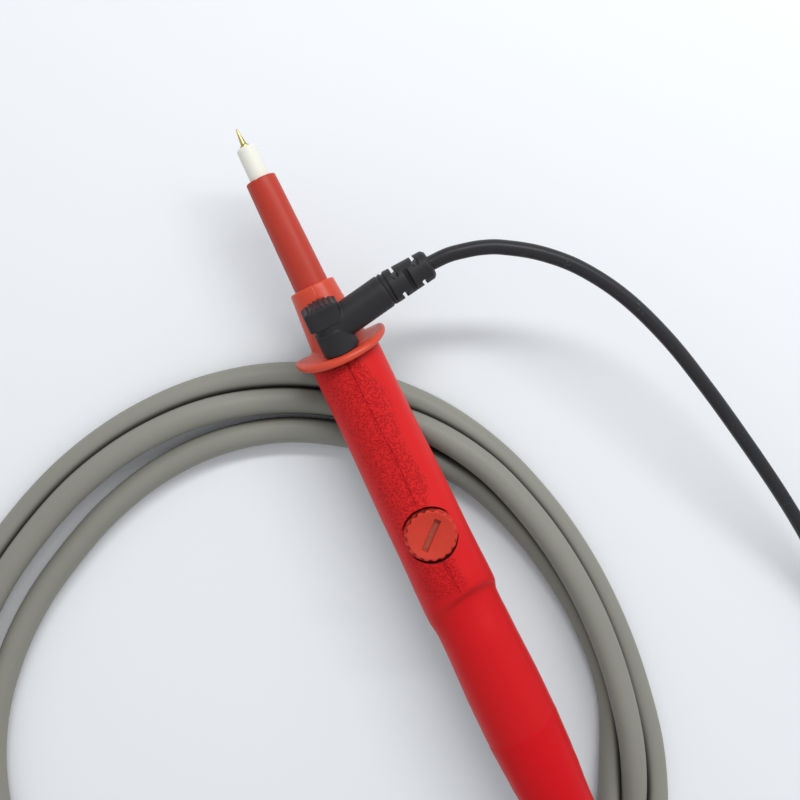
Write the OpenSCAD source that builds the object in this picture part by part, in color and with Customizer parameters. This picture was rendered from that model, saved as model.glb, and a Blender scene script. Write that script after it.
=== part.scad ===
// High voltage probe: a red hand-held divider probe, its coiled signal cable with a bayonet plug,
// and a ground lead that plugs into the front guard and ends in a spring clip.
// Millimetres. The origin is on the probe's axis, halfway along its length.
// +Y runs to the contact tip, +Z is up, and the probe lies on its own coil of cable.

/* [Probe] */
// Whole length of the probe, from the contact tip to the end of the bend relief
probe_len = 260; // [258:0.5:262]
// Height of the probe's axis above the table
rest_h = 17.6; // [17.5:0.1:18]

/* [Nose] */
// Length of the bare contact needle
needle_len = 5.1; // [4:0.1:6]
// Diameter of the white insulator
insulator_d = 5.46; // [5:0.02:5.8]
// Length of the insulator outside the nose tube
insulator_len = 9.3; // [8:0.1:10]
// Diameter of the nose tube at its front
nose_front_d = 8.4; // [8:0.1:8.6]
// Diameter of the nose tube where it enters the guard
nose_back_d = 9.5; // [9:0.1:9.7]
// Visible length of the nose tube
nose_len = 32.5; // [30:0.5:34]

/* [Guard] */
// Diameter of the barrel in front of the guard, at its front edge
barrel_front_d = 13; // [12.4:0.1:13.4]
// Diameter of the barrel at the guard
barrel_back_d = 15.4; // [15:0.1:15.8]
// Length of the barrel in front of the guard
barrel_len = 17; // [16:0.5:18]
// Diameter of the finger guard
guard_d = 26.2; // [25:0.1:27]
// Thickness of the guard's rounded rim
guard_t = 2.3; // [2:0.1:2.6]
// Angle by which the upper half of the guard is swept back
guard_sweep = 16; // [14:0.5:18]

/* [Grip] */
// Diameter of the grip behind the guard
grip_front_d = 19.4; // [19:0.1:19.6]
// Diameter of the grip in front of its shoulder
grip_back_d = 21.5; // [21.2:0.1:21.8]
// Length of the grip from the guard to the shoulder, along its underside
grip_len = 75.8; // [75:0.1:77]
// Diameter just behind the shoulder
waist_d = 19.9; // [19.6:0.1:20.1]
// Diameter of the swell at the back end of the grip
swell_d = 21.3; // [21:0.1:21.5]
// Angle by which the top of the shoulder leans forward
shoulder_rake = 22; // [18:1:26]

/* [Trimmer access] */
// Distance of the access cap behind the guard
cap_back = 55.6; // [54:0.2:58]
// Diameter of the access cap
cap_d = 14.4; // [14:0.1:14.6]
// Number of scallops on the cap's edge
cap_scallops = 18; // [16:1:22]
// Direction of the coin slot, counted from +X
slot_angle = 41; // [35:0.5:45]

/* [Tail] */
// Diameter of the tail sleeve where it meets the grip
tail_front_d = 21.4; // [21.1:0.1:21.5]
// Diameter of the tail sleeve before its rounded end
tail_back_d = 16.8; // [16.4:0.2:17.2]
// Length of the bend relief behind the tail sleeve
relief_len = 24; // [22:1:26]

/* [Cords] */
// Diameter of the signal cable
cable_d = 7.3; // [7.2:0.05:7.3]
// Diameter of the ground lead
lead_d = 4; // [3.9:0.1:4.1]

/* [Hidden] */

// fits and shared sizes
slip = 0.05;
fine = 96;
table_z = -rest_h;

// places along the probe
tip_y = probe_len / 2;
insulator_y = tip_y - needle_len;
nose_y = insulator_y - insulator_len;
barrel_y = nose_y - nose_len;
guard_y = barrel_y - barrel_len;
grip_y = guard_y - guard_t / 2 - 0.15;
shoulder_y = grip_y - grip_len;
cap_y = guard_y - cap_back;
seam_y = shoulder_y - 39;
relief_y = -probe_len / 2 + relief_len;

// inside the nose and the barrel
shank_r = 1;
shank_end_y = nose_y - 8.1;
stem_end_y = nose_y - 7.6;
nose_bore_r = 2.55;
nose_seat_y = barrel_y - 7;
resistor_r = 2;
resistor_cap_r = 2.2;
resistor_front_y = shank_end_y - 6;
resistor_len = 34.5;
resistor_back_y = resistor_front_y - resistor_len;
passage_r = 2.4;
wire_r = 0.4;
spigot_r = barrel_back_d / 2;
spigot_len = 15;

// inside the grip and the tail
grip_bore_r = 7.8;
carrier_r = 8.1;
carrier_bore_r = 7.2;
carrier_front_y = shoulder_y + 10;
carrier_back_y = seam_y - 16;
board_w = 12.6;
board_t = 1.6;
board_front_y = 36;
board_back_y = -34;
board_z = -2.8;
recess_r = cap_d / 2 + 0.5;
cap_floor_z = 8.2;
cap_t = 1.7;
cap_stem_r = 5.4;
cap_stem_z = 5.4;
scallop_r = 0.75;
trimmer_r = 3.2;
trimmer_z = 3;

// ground socket and plug, in the frame of the swept-back guard face
socket_h = 7.5;
socket_r = 2.5;
socket_bore_r = 2;
socket_len = 15.5;
pocket_r = 5.25;
plug_foot = 1.8;
plug_collar_r = 5;
head_y = 9.5;
head_len = 5.1;
head_w = 10.8;
head_x = -0.5;
head_top = 4.7;
thumb_r = 8.3;
plug_pin_r = 1.5;
plug_pin_len = 15.5;
arm_r = 4.65;
arm_y = 7.7;
arm_end_x = 17.9;
arm_turn = 10;
relief_turn = -4;
relief_len_x = 12.9;
relief_core_r = 2.7;
slot_w = 0.9;
side_slots = [3.2, 9.3];
top_slots = [6];

// coil of the signal cable: the probe lies across it
coil_x = -60.4;
coil_y = -28.4;
coil_in_r = 82;
coil_out_r = 106;
coil_h = 7.1;
cable_z = table_z + cable_d / 2;

// signal cable from inside the tail sleeve to the coil, and from the coil to its plug
bnc_z = table_z + 7.25;
cable_route = [
    [0, -100.1, 0], [0, -130, 0], [0, -142, -1], [-2, -153, -4], [-8, -164, -8.5],
    [-18, -173, -12], [-31, -178, cable_z], [-47, -178.5, cable_z], [-64, -175, cable_z],
    [-82, -167.5, cable_z], [-99, -156.5, cable_z], [-114, -142, cable_z],
    [-127, -125, cable_z], [-137, -107, cable_z], [-143.6, -91, cable_z], [-147.3, -78.5, cable_z]
];
cable_end_route = [
    [-9, -104, cable_z], [-21, -107, cable_z],
    [-33, -105.2, -13.4], [-43, -100.6, -11.2], [-52, -96.3, bnc_z], [-60.1, -92.5, bnc_z]
];

// bayonet plug on the signal cable, lying on the table inside the coil
bnc_at = [-52, -96.3, bnc_z];
bnc_turn = 154.7;
bnc_ring_r = 7.25;
bnc_neck_r = 5.1;
bnc_cavity_r = 5.65;
bnc_pin_r = 0.68;
bnc_boot_len = 20;
bnc_ring_x = 30;
bnc_ring_len = 16;
bnc_face_x = bnc_ring_x + bnc_ring_len;

// ground lead from its plug to a small coil of two layers, and on to the clip
lead_z = table_z + lead_d / 2;
lead_route = [
    [30.2, 75.6, 10.9], [35.4, 75.6, 11.4], [39.8, 74.8, 11.8], [44.2, 73.6, 12], [48.8, 71.6, 12],
    [57.7, 65.7, 11.4], [66, 57.5, 10.2], [73.8, 45.5, 8.6], [80.2, 30.1, 6.4], [84.9, 13.7, 3.8],
    [89.1, -3.9, 0.8], [93.1, -22.3, -2.8], [96, -38.5, -6.6], [97.8, -54.5, -10.4],
    [98.4, -70, -13.8], [98.2, -84, lead_z]
];
lead_coil_at = [122, -84];
lead_coil_in_r = 18;
lead_coil_out_r = 26;
lead_end_route = [
    [146, -84, table_z + 6], [146.2, -75, table_z + 5.6], [146.4, -66, table_z + 4.6],
    [146.5, -57, table_z + 4.2], [146.5, -50, table_z + 4.2]
];

// spring clip, seen from its cable end along +Y
clip_at = [146.5, -55, table_z + 4.2];
clip_w = 6.4;
clip_wall = 0.5;
clip_pivot_y = 21;
clip_pivot_z = 2.4;
clip_pivot_r = 0.9;
clip_tip_y = 47;
clip_tooth = 1.6;

// a solid of revolution on the probe's axis, from [radius, y] points
module turned(points) rotate([-90, 0, 0]) rotate_extrude($fn = fine) polygon(points);

// a plain rod on the probe's axis between two places
module rod(r, y0, y1) translate([0, y1, 0]) rotate([90, 0, 0]) cylinder(h = y1 - y0, r = r, $fn = fine);

// the frame of the guard's swept face: its Y points out of the socket
module socket_frame() translate([0, guard_y, 0]) rotate([guard_sweep, 0, 0]) translate([0, 0, socket_h]) children();

// the frame of the bayonet plug: its Z points out of the plug's mouth
module bnc_frame() translate(bnc_at) rotate([0, 0, bnc_turn]) rotate([0, 90, 0]) children();

// points of an arc, for outlines
function arc(x, y, r, a0, a1, n = 6) = [
    for (i = [0 : n]) let (a = a0 + (a1 - a0) * i / n) [x + r * cos(a), y + r * sin(a)]
];

// a smooth curve through hand-set points, with a few steps between each pair
function unit(v) = v / norm(v);
function pick(p, i) = p[max(0, min(len(p) - 1, i))];
function spline_at(a, b, c, d, t) = 0.5 * (2 * b + (c - a) * t + (2 * a - 5 * b + 4 * c - d) * t * t
    + (3 * b - a - 3 * c + d) * t * t * t);
function spline(p, steps) = concat(
    [for (i = [0 : len(p) - 2], k = [0 : steps - 1])
        spline_at(pick(p, i - 1), p[i], p[i + 1], pick(p, i + 2), k / steps)],
    [p[len(p) - 1]]
);
function on_table(path, r) = [for (p = path) [p[0], p[1], max(p[2], table_z + r)]];

// a round tube swept along a path: one ring at each of its points
module swept(path, r, sides) {
    last = len(path) - 1;
    points = [
        for (i = [0 : last])
            let (
                t = unit(path[min(last, i + 1)] - path[max(0, i - 1)]),
                s = unit(cross(t, [0, 0, 1])),
                u = cross(s, t)
            )
            for (k = [0 : sides - 1])
                let (a = 360 * k / sides)
                path[i] + r * (cos(a) * s + sin(a) * u)
    ];
    walls = [
        for (i = [0 : last - 1], k = [0 : sides - 1])
            let (a = i * sides + k, b = i * sides + (k + 1) % sides)
            each [[a, b, b + sides], [a, b + sides, a + sides]]
    ];
    front = [for (k = [1 : sides - 2]) [0, k + 1, k]];
    back = [for (k = [1 : sides - 2]) [last * sides, last * sides + k, last * sides + k + 1]];
    polyhedron(concat(points, [path[last]]), concat(walls, front, back));
}

// a compression spring along Y, starting at the origin
module coil_spring(r, wire_r, length, turns, per_turn = 12) {
    steps = turns * per_turn;
    pitch = length / steps;
    points = [
        for (i = [0 : steps])
            let (a = 360 * i / per_turn, out = [cos(a), 0, sin(a)])
            for (k = [0 : 5])
                let (b = 60 * k)
                (r + wire_r * cos(b)) * out + [0, i * pitch + wire_r * sin(b), 0]
    ];
    walls = [
        for (i = [0 : steps - 1], k = [0 : 5])
            let (a = i * 6 + k, b = i * 6 + (k + 1) % 6)
            each [[a, b + 6, b], [a, a + 6, b + 6]]
    ];
    ends = [
        for (k = [1 : 4])
            each [[0, k, k + 1], [steps * 6, steps * 6 + k + 1, steps * 6 + k]]
    ];
    polyhedron(points, concat(walls, ends));
}

module contact_needle() color("gold")
    turned([
        [0, tip_y], [0.22, tip_y - 0.15], [0.85, tip_y - 3.9], [1.38, tip_y - 4.3],
        [1.38, insulator_y + slip], [shank_r, insulator_y + slip], [shank_r, shank_end_y],
        [0, shank_end_y]
    ]);

module tip_insulator() color("ivory") {
    r = insulator_d / 2;
    turned(concat(
        [[shank_r + slip, insulator_y], [r - 1, insulator_y]],
        arc(r - 0.9, insulator_y - 0.9, 0.9, 80, 0),
        [[r, nose_y], [2.3, nose_y], [2.3, stem_end_y], [shank_r + slip, stem_end_y]]
    ));
}

module nose_tube() color("firebrick") {
    front_r = nose_front_d / 2;
    back_r = nose_back_d / 2;
    turned(concat(
        [[2.3 + slip, nose_y - slip], [front_r - 0.5, nose_y - slip]],
        arc(front_r - 0.5, nose_y - 0.5 - slip, 0.5, 90, 5, 4),
        [
            [back_r, barrel_y], [back_r, nose_seat_y + slip], [nose_bore_r, nose_seat_y + slip],
            [nose_bore_r, stem_end_y], [2.3 + slip, stem_end_y]
        ]
    ));
}

module contact_spring() color("silver")
    translate([0, resistor_front_y + 0.3, 0])
        coil_spring(r = 1.3, wire_r = 0.25, length = shank_end_y - resistor_front_y - 0.6, turns = 5);

// a pressed cup over one end of the resistor
module resistor_cap(end_y, inward) {
    mouth = end_y + inward * 4;
    turned([
        [0, end_y], [resistor_cap_r, end_y], [resistor_cap_r, mouth], [resistor_r + 0.02, mouth],
        [resistor_r + 0.02, end_y + inward * 0.5], [0, end_y + inward * 0.5]
    ]);
}

module resistor_front_cap() color("silver") resistor_cap(resistor_front_y, -1);

module resistor_rear_cap() color("silver") resistor_cap(resistor_back_y, 1);

module divider_resistor() color("royalblue")
    rod(resistor_r, resistor_back_y + 0.5, resistor_front_y - 0.5);

// the finger guard: a disc with a round rim, whose upper half is swept back
function swept_back(z) = -tan(guard_sweep) * (sqrt(z * z + 1) + z - 1) / 2;

module guard_plate() {
    rim = guard_t / 2;
    around = 56;
    across = 6;
    points = [
        for (k = [0 : around - 1], m = [0 : across])
            let (
                a = 360 * k / around,
                b = -90 + 180 * m / across,
                r = guard_d / 2 - rim + rim * cos(b)
            )
            [r * cos(a), guard_y + rim * sin(b) + swept_back(r * sin(a)), r * sin(a)]
    ];
    step = across + 1;
    rim_faces = [
        for (k = [0 : around - 1], m = [0 : across - 1])
            let (a = k * step + m, b = (k + 1) % around * step + m)
            each [[a, b + 1, a + 1], [a, b, b + 1]]
    ];
    back = around * step;
    plate_faces = [
        for (k = [0 : around - 1])
            let (a = k * step, b = (k + 1) % around * step)
            each [[back, b, a], [back + 1, a + across, b + across]]
    ];
    polyhedron(concat(points, [[0, guard_y - rim, 0], [0, guard_y + rim, 0]]), concat(rim_faces, plate_faces));
}

// barrel, swept finger guard, socket pocket and the spigot that the grip slides over
module front_guard() color("orangered")
    difference() {
        union() {
            difference() {
                union() {
                    turned(concat(
                        [[0, barrel_y]],
                        arc(barrel_front_d / 2 - 1, barrel_y - 1, 1, 90, 5, 5),
                        [
                            [spigot_r, guard_y], [spigot_r, guard_y - spigot_len],
                            [0, guard_y - spigot_len]
                        ]
                    ));
                    guard_plate();
                }
                // round pocket for the plug's collar, wider where the plug's head and arm lie
                socket_frame() {
                    rotate([-90, 0, 0]) translate([0, 0, guard_t / 2]) cylinder(h = 26, r = pocket_r, $fn = fine);
                    translate([head_x - head_w / 2 - 0.3, head_y - 0.4, -plug_collar_r]) cube([head_w + 0.6, 20, 12]);
                    translate([0, arm_y - arm_r - 0.4, -plug_collar_r]) cube([12, 25, 12]);
                }
            }
            // seat under the collar
            socket_frame() rotate([-90, 0, 0]) translate([0, 0, -1])
                cylinder(h = plug_foot - slip + 1, r = 4, $fn = fine);
        }
        rod(nose_back_d / 2 + slip, nose_seat_y, barrel_y + 1);
        rod(passage_r, guard_y + 0.6, nose_seat_y + 1);
        rod(wire_r + 0.3, guard_y - spigot_len - 1, guard_y + 1);
        socket_frame() rotate([-90, 0, 0]) translate([0, 0, -socket_len - 1])
            cylinder(h = 26, r = socket_r + slip, $fn = fine);
    }

// sprung brass socket, 4 mm bore, in the guard
module ground_socket() color("gold")
    socket_frame() rotate([90, 0, 0]) difference() {
        union() {
            translate([0, 0, -plug_foot + 2 * slip]) cylinder(h = socket_len + plug_foot, r = socket_r, $fn = fine);
            translate([0, 0, socket_len]) cylinder(h = 1.6, r = 0.9, $fn = fine);
        }
        translate([0, 0, -plug_foot]) cylinder(h = socket_len + plug_foot - 1, r = socket_bore_r, $fn = fine);
    }

module signal_wire() color("red") {
    foot = board_z + board_t + slip;
    rod(wire_r, board_front_y - 2.4, resistor_back_y - slip);
    translate([0, board_front_y - 2, foot]) cylinder(h = -foot, r = wire_r, $fn = fine);
}

module ground_wire() color("green")
    swept(spline([[0, 47.5, 2.48], [0.6, 44, 1.9], [2.4, 39.8, 0.3], [3.4, 36.7, -2]], 3), wire_r, 8);

// soft red grip: one moulding with a raked shoulder, swelling again towards the tail
module handle_grip() color("crimson") {
    front_r = grip_front_d / 2;
    back_r = grip_back_d / 2;
    waist_r = waist_d / 2;
    swell_r = swell_d / 2;
    difference() {
        union() {
            difference() {
                turned([
                    [0, grip_y], [front_r - 0.4, grip_y], [front_r, grip_y - 0.4],
                    [10.08, 36], [10.4, 14.3], [back_r, shoulder_y + 6], [back_r, shoulder_y - 2],
                    [0, shoulder_y - 2]
                ]);
                // front face follows the sweep of the guard
                translate([0, grip_y, 0]) rotate([guard_sweep, 0, 0]) translate([-20, 0, 0]) cube([40, 40, 30]);
                // back of the shoulder, raked in its upper half
                translate([0, shoulder_y, 0]) {
                    translate([-20, -20, -20]) cube([40, 20, 40]);
                    rotate([-shoulder_rake, 0, 0]) translate([-20, -30, 0]) cube([40, 30, 30]);
                }
            }
            turned([
                [0, shoulder_y + 8], [waist_r - 1, shoulder_y + 8], [waist_r, shoulder_y + 1.5], [waist_r, shoulder_y - 5],
                [waist_r + 0.3, shoulder_y - 14], [swell_r - 0.2, shoulder_y - 24], [swell_r, shoulder_y - 31],
                [swell_r - 0.03, seam_y + 0.3], [swell_r - 0.2, seam_y], [0, seam_y]
            ]);
        }
        rod(spigot_r + slip, grip_y - spigot_len + 1, grip_y + 1);
        rod(grip_bore_r, carrier_front_y - 1, grip_y - spigot_len + 2);
        rod(carrier_r + slip, seam_y - 1, carrier_front_y);
        socket_frame() rotate([90, 0, 0]) cylinder(h = 14, r = socket_r + 2 * slip, $fn = fine);
        translate([0, cap_y, cap_floor_z]) cylinder(h = 10, r = recess_r, $fn = fine);
        translate([0, cap_y, 0]) cylinder(h = 10, r = cap_stem_r + slip, $fn = fine);
    }
}

// scalloped access cap with a coin slot
module trimmer_cap() color("orangered")
    translate([0, cap_y, 0]) difference() {
        union() {
            translate([0, 0, cap_floor_z + slip])
                rotate_extrude($fn = fine)
                    polygon([
                        [0, 0], [cap_d / 2, 0], [cap_d / 2, cap_t - 0.9], [cap_d / 2 - 0.25, cap_t - 0.3],
                        [cap_d / 2 - 0.8, cap_t], [cap_d / 2 - 1.5, cap_t], [cap_d / 2 - 2.6, cap_t - 0.3],
                        [0, cap_t - 0.45]
                    ]);
            translate([0, 0, cap_stem_z]) cylinder(h = cap_floor_z - cap_stem_z + 0.5, r = cap_stem_r, $fn = fine);
        }
        for (i = [0 : cap_scallops - 1])
            rotate([0, 0, 360 * i / cap_scallops])
                translate([cap_d / 2 + 0.35, 0, cap_floor_z])
                    cylinder(h = 4, r = scallop_r, $fn = 24);
        rotate([0, 0, slot_angle])
            translate([-4.4, -0.75, cap_floor_z + cap_t - 1.35])
                cube([8.8, 1.5, 3]);
        // groove for the seal
        translate([0, 0, 6.4]) rotate_extrude($fn = fine)
            translate([cap_stem_r - 1.05, 0]) square([2, 1.1]);
        // hollow underside, clear of the trimmer
        translate([0, 0, cap_stem_z - 1]) cylinder(h = 2.4, r = 3.9, $fn = fine);
    }

module cap_o_ring() color("dimgray")
    translate([0, cap_y, 6.95])
        rotate_extrude($fn = fine) translate([cap_stem_r - 0.5, 0]) circle(r = 0.5, $fn = 20);

module circuit_board() color("darkgreen")
    difference() {
        translate([-board_w / 2, board_back_y, board_z]) cube([board_w, board_front_y - board_back_y, board_t]);
        for (y = [board_front_y - 3, board_back_y + 3], x = [-3.4, 3.4])
            translate([x, y, board_z - 1]) cylinder(h = 4, r = 0.5, $fn = 24);
    }

module trimmer_body() color("mediumblue")
    translate([0, cap_y, board_z + board_t]) difference() {
        union() {
            cylinder(h = trimmer_z - board_z - board_t, r = trimmer_r, $fn = fine);
            translate([-trimmer_r, -trimmer_r, 0]) cube([2 * trimmer_r, 2 * trimmer_r, 1.2]);
        }
        translate([0, 0, 1.8]) cylinder(h = 5, r = 0.95, $fn = 48);
    }

module trimmer_rotor() color("gold")
    translate([0, cap_y, 0]) difference() {
        union() {
            translate([0, 0, board_z + board_t + 2]) cylinder(h = trimmer_z - board_z - board_t - 2 + 0.2, r = 0.9, $fn = 48);
            translate([0, 0, trimmer_z + 0.1]) cylinder(h = 1.2, r = 2.2, $fn = 64);
        }
        translate([-2.5, -0.3, trimmer_z + 0.8]) cube([5, 0.6, 2]);
    }

module low_side_resistor() color("tan")
    translate([3.6, 25, board_z + board_t + 1.25]) rotate([90, 0, 0]) union() {
        cylinder(h = 6.4, r = 1.15, $fn = 48);
        translate([0, 0, -3]) cylinder(h = 12.4, r = 0.3, $fn = 24);
    }

module low_side_capacitor() color("chocolate")
    translate([-4.9, 15.5, board_z + board_t]) cube([2.6, 7, 4.4]);

// stiff carrier tube inside the grip and the tail sleeve, with rails for the board
module rear_body() color("red")
    difference() {
        union() {
            difference() {
                rod(carrier_r, carrier_back_y, carrier_front_y - slip);
                rod(carrier_bore_r, carrier_back_y - 1, carrier_front_y + 1);
            }
            for (side = [-1, 1])
                translate([side * 6.55 - 0.75, board_back_y - 1, board_z - 0.9])
                    cube([1.5, carrier_front_y - slip - board_back_y + 1, board_t + 1.8]);
        }
        translate([-board_w / 2 - slip, board_back_y - slip, board_z - slip])
            cube([board_w + 2 * slip, 40, board_t + 2 * slip]);
    }

// tail sleeve, tapering back to its rounded end
module tail_cap() color("red") {
    front_r = tail_front_d / 2;
    back_r = tail_back_d / 2;
    turned(concat(
        [
            [carrier_r + slip, seam_y - slip], [front_r - 0.15, seam_y - slip], [front_r, seam_y - 0.35],
            [10.42, seam_y - 7], [9.88, seam_y - 17], [9.25, seam_y - 27], [8.7, seam_y - 40],
            [back_r, relief_y + 4]
        ],
        arc(back_r - 2.4, relief_y + 2.4, 2.4, 10, -80, 6),
        [
            [5.2, relief_y], [5.2, relief_y + 3], [cable_d / 2 + 0.4, relief_y + 3],
            [cable_d / 2 + 0.4, relief_y + 10], [6.4, relief_y + 18], [carrier_bore_r, carrier_back_y - 8],
            [carrier_bore_r, carrier_back_y - slip], [carrier_r + slip, carrier_back_y - slip]
        ]
    ));
}

module cable_ferrule() color("silver")
    difference() {
        rod(cable_d / 2 + 0.38, relief_y + 3, relief_y + 9);
        rod(cable_d / 2 + 0.02, relief_y + 2, relief_y + 6);
        rod(1.55, relief_y + 5, relief_y + 10);
    }

module cable_core() color("white") rod(1.5, relief_y + 6, board_back_y - slip);

// ribbed rubber sleeve where the cable leaves the tail
module bend_relief() color("darkred") {
    end_y = -probe_len / 2;
    ribs = 6;
    pitch = (relief_len - 5) / ribs;
    difference() {
        union() {
            turned([
                [0, relief_y + 2.8], [5, relief_y + 2.8], [5.1, relief_y], [6.6, relief_y - 0.2],
                [6.6, relief_y - 2.2], [5.6, relief_y - 2.6], [4.5, end_y + 0.4], [4.2, end_y],
                [0, end_y]
            ]);
            for (i = [0 : ribs - 1])
                rod(6.3 - 0.24 * i, relief_y - 4 - i * pitch - 1.5, relief_y - 4 - i * pitch);
        }
        rod(cable_d / 2 + 0.02, end_y - 1, relief_y + 4);
    }
}

module probe_cable() color("gray")
    swept(on_table(spline(cable_route, 2), cable_d / 2), cable_d / 2, 10);

module probe_cable_coil() color("gray")
    translate([coil_x, coil_y, table_z])
        rotate_extrude($fn = 180)
            polygon(concat(
                arc(coil_out_r - 3, 3, 3, -90, 0, 3),
                arc(coil_out_r - 3, coil_h - 3, 3, 0, 90, 3),
                arc(coil_in_r + 3, coil_h - 3, 3, 90, 180, 3),
                arc(coil_in_r + 3, 3, 3, 180, 270, 3)
            ));

module probe_cable_end() color("gray")
    swept(on_table(spline(cable_end_route, 2), cable_d / 2), cable_d / 2, 10);

module bnc_boot() color("dimgray")
    bnc_frame() difference() {
        rotate_extrude($fn = fine)
            polygon([
                [0, 0], [4.4, 0], [4.7, 0.6], [5.2, 9], [5.2, 9.6], [6.2, 10], [6.4, 10.6],
                [6.4, bnc_boot_len - 0.6], [6, bnc_boot_len], [0, bnc_boot_len]
            ]);
        translate([0, 0, -1]) cylinder(h = bnc_boot_len - 8, r = cable_d / 2 + 0.02, $fn = fine);
        translate([0, 0, 10]) cylinder(h = bnc_boot_len, r = 4.75, $fn = fine);
        for (z = [1.8 : 2 : 8])
            translate([0, 0, z]) difference() {
                cylinder(h = 0.9, r = 7, $fn = fine);
                translate([0, 0, -1]) cylinder(h = 3, r = 4.3, $fn = fine);
            }
    }

module bnc_ferrule() color("silver")
    bnc_frame() difference() {
        translate([0, 0, 11]) cylinder(h = 8.6, r = 4.7, $fn = fine);
        translate([0, 0, 10]) cylinder(h = 12, r = 4.05, $fn = fine);
    }

// plug body with its outer contact, slit into fingers
module bnc_body() color("silver")
    bnc_frame() difference() {
        rotate_extrude($fn = fine)
            polygon([
                [1.6, 12.5], [4, 12.5], [4, 20.2], [6.2, 20.2], [6.6, 20.8], [6.6, 27.6],
                [6.2, 28.2], [bnc_neck_r, 28.2], [bnc_neck_r, 35.4], [4.75, 35.4], [4.75, 44.4],
                [4.55, 44.8], [4.1, 44.8], [4.1, 26], [1.6, 26]
            ]);
        for (i = [0 : 3])
            rotate([0, 0, 45 + 90 * i])
                translate([3, -0.25, 37.5]) cube([3, 0.5, 10]);
        // grip flats on the clamp nut
        for (i = [0 : 1])
            rotate([0, 0, 180 * i]) translate([6, -5, 21.5]) cube([3, 10, 5]);
    }

module bnc_insulator() color("white")
    bnc_frame() difference() {
        translate([0, 0, 26.05]) cylinder(h = 9, r = 4.05, $fn = fine);
        translate([0, 0, 26]) cylinder(h = 12, r = 1.25, $fn = 48);
    }

module bnc_pin() color("gold")
    bnc_frame() rotate_extrude($fn = 48)
        polygon([
            [0, 26.1], [1.2, 26.1], [1.2, 35], [bnc_pin_r, 35.3], [bnc_pin_r, 43.6],
            [0.35, 44.4], [0, 44.4]
        ]);

module bnc_gasket() color("white")
    bnc_frame() difference() {
        translate([0, 0, 36]) cylinder(h = 0.8, r = bnc_neck_r + 0.1, $fn = fine);
        translate([0, 0, 35]) cylinder(h = 3, r = 4.77, $fn = fine);
    }

// fluted ring with two bayonet tracks
module bnc_coupling_ring() color("lightgray")
    bnc_frame() difference() {
        rotate_extrude($fn = fine)
            polygon([
                [bnc_neck_r + slip, bnc_ring_x], [6.6, bnc_ring_x], [bnc_ring_r, bnc_ring_x + 0.6],
                [bnc_ring_r, bnc_ring_x + 6.4], [6.9, bnc_ring_x + 6.8], [6.9, bnc_face_x - 0.4],
                [6.5, bnc_face_x], [bnc_cavity_r, bnc_face_x], [bnc_cavity_r, bnc_ring_x + 5],
                [bnc_neck_r + slip, bnc_ring_x + 5]
            ]);
        for (i = [0 : 17])
            rotate([0, 0, 20 * i]) translate([bnc_ring_r + 0.35, 0, bnc_ring_x - 1])
                cylinder(h = 7.2, r = 0.75, $fn = 20);
        // way in for the jack's stud, and the hole that it locks in
        for (side = [0, 180]) rotate([0, 0, side]) {
            translate([5, -1.15, bnc_face_x - 4.5]) cube([1.4, 2.3, 6]);
            rotate([0, 0, 50]) translate([5, 0, bnc_face_x - 3.4])
                rotate([0, 90, 0]) cylinder(h = 3, r = 1.15, $fn = 32);
        }
    }

// right-angle plug with its segmented strain relief, moulded as one piece
module ground_plug_body() color([0.13, 0.13, 0.14])
    socket_frame() difference() {
        union() {
            rotate([-90, 0, 0]) {
                translate([0, 0, plug_foot]) cylinder(h = 6, r = plug_collar_r, $fn = fine);
                translate([0, 0, plug_foot + 5]) cylinder(h = head_y - plug_foot - 4, r = plug_collar_r - 0.3, $fn = fine);
            }
            plug_head();
            translate([0, arm_y, 0]) rotate([0, 0, arm_turn]) plug_arm();
        }
        rotate([90, 0, 0]) translate([0, 0, -plug_foot - 8]) cylinder(h = 9, r = plug_pin_r + 0.02, $fn = 48);
    }

// head with round corners, and a ribbed thumb rest at its end
module plug_head() {
    half = head_w / 2;
    corner = 1.6;
    depth = head_top + plug_collar_r - 0.6;
    translate([head_x, head_y, head_top - depth]) rotate([90, 0, 0]) translate([0, 0, -head_len])
        linear_extrude(head_len) {
            translate([-half + corner, 0]) square([2 * half - 2 * corner, depth]);
            translate([-half, corner]) square([2 * half, depth - 2 * corner]);
            for (x = [-1, 1], y = [corner, depth - corner])
                translate([x * (half - corner), y]) circle(r = corner, $fn = 48);
        }
    translate([head_x, head_y + head_len, head_top - depth + 0.5]) linear_extrude(depth - 1.7) difference() {
        intersection() {
            translate([0, 2 - thumb_r]) circle(r = thumb_r, $fn = fine);
            translate([-half + 0.2, -0.5]) square([2 * half - 0.4, 4]);
        }
        // upright grooves
        for (a = [59 : 10.4 : 122])
            translate([thumb_r * cos(a), 2 - thumb_r + thumb_r * sin(a)]) circle(r = 0.42, $fn = 20);
    }
}

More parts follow.
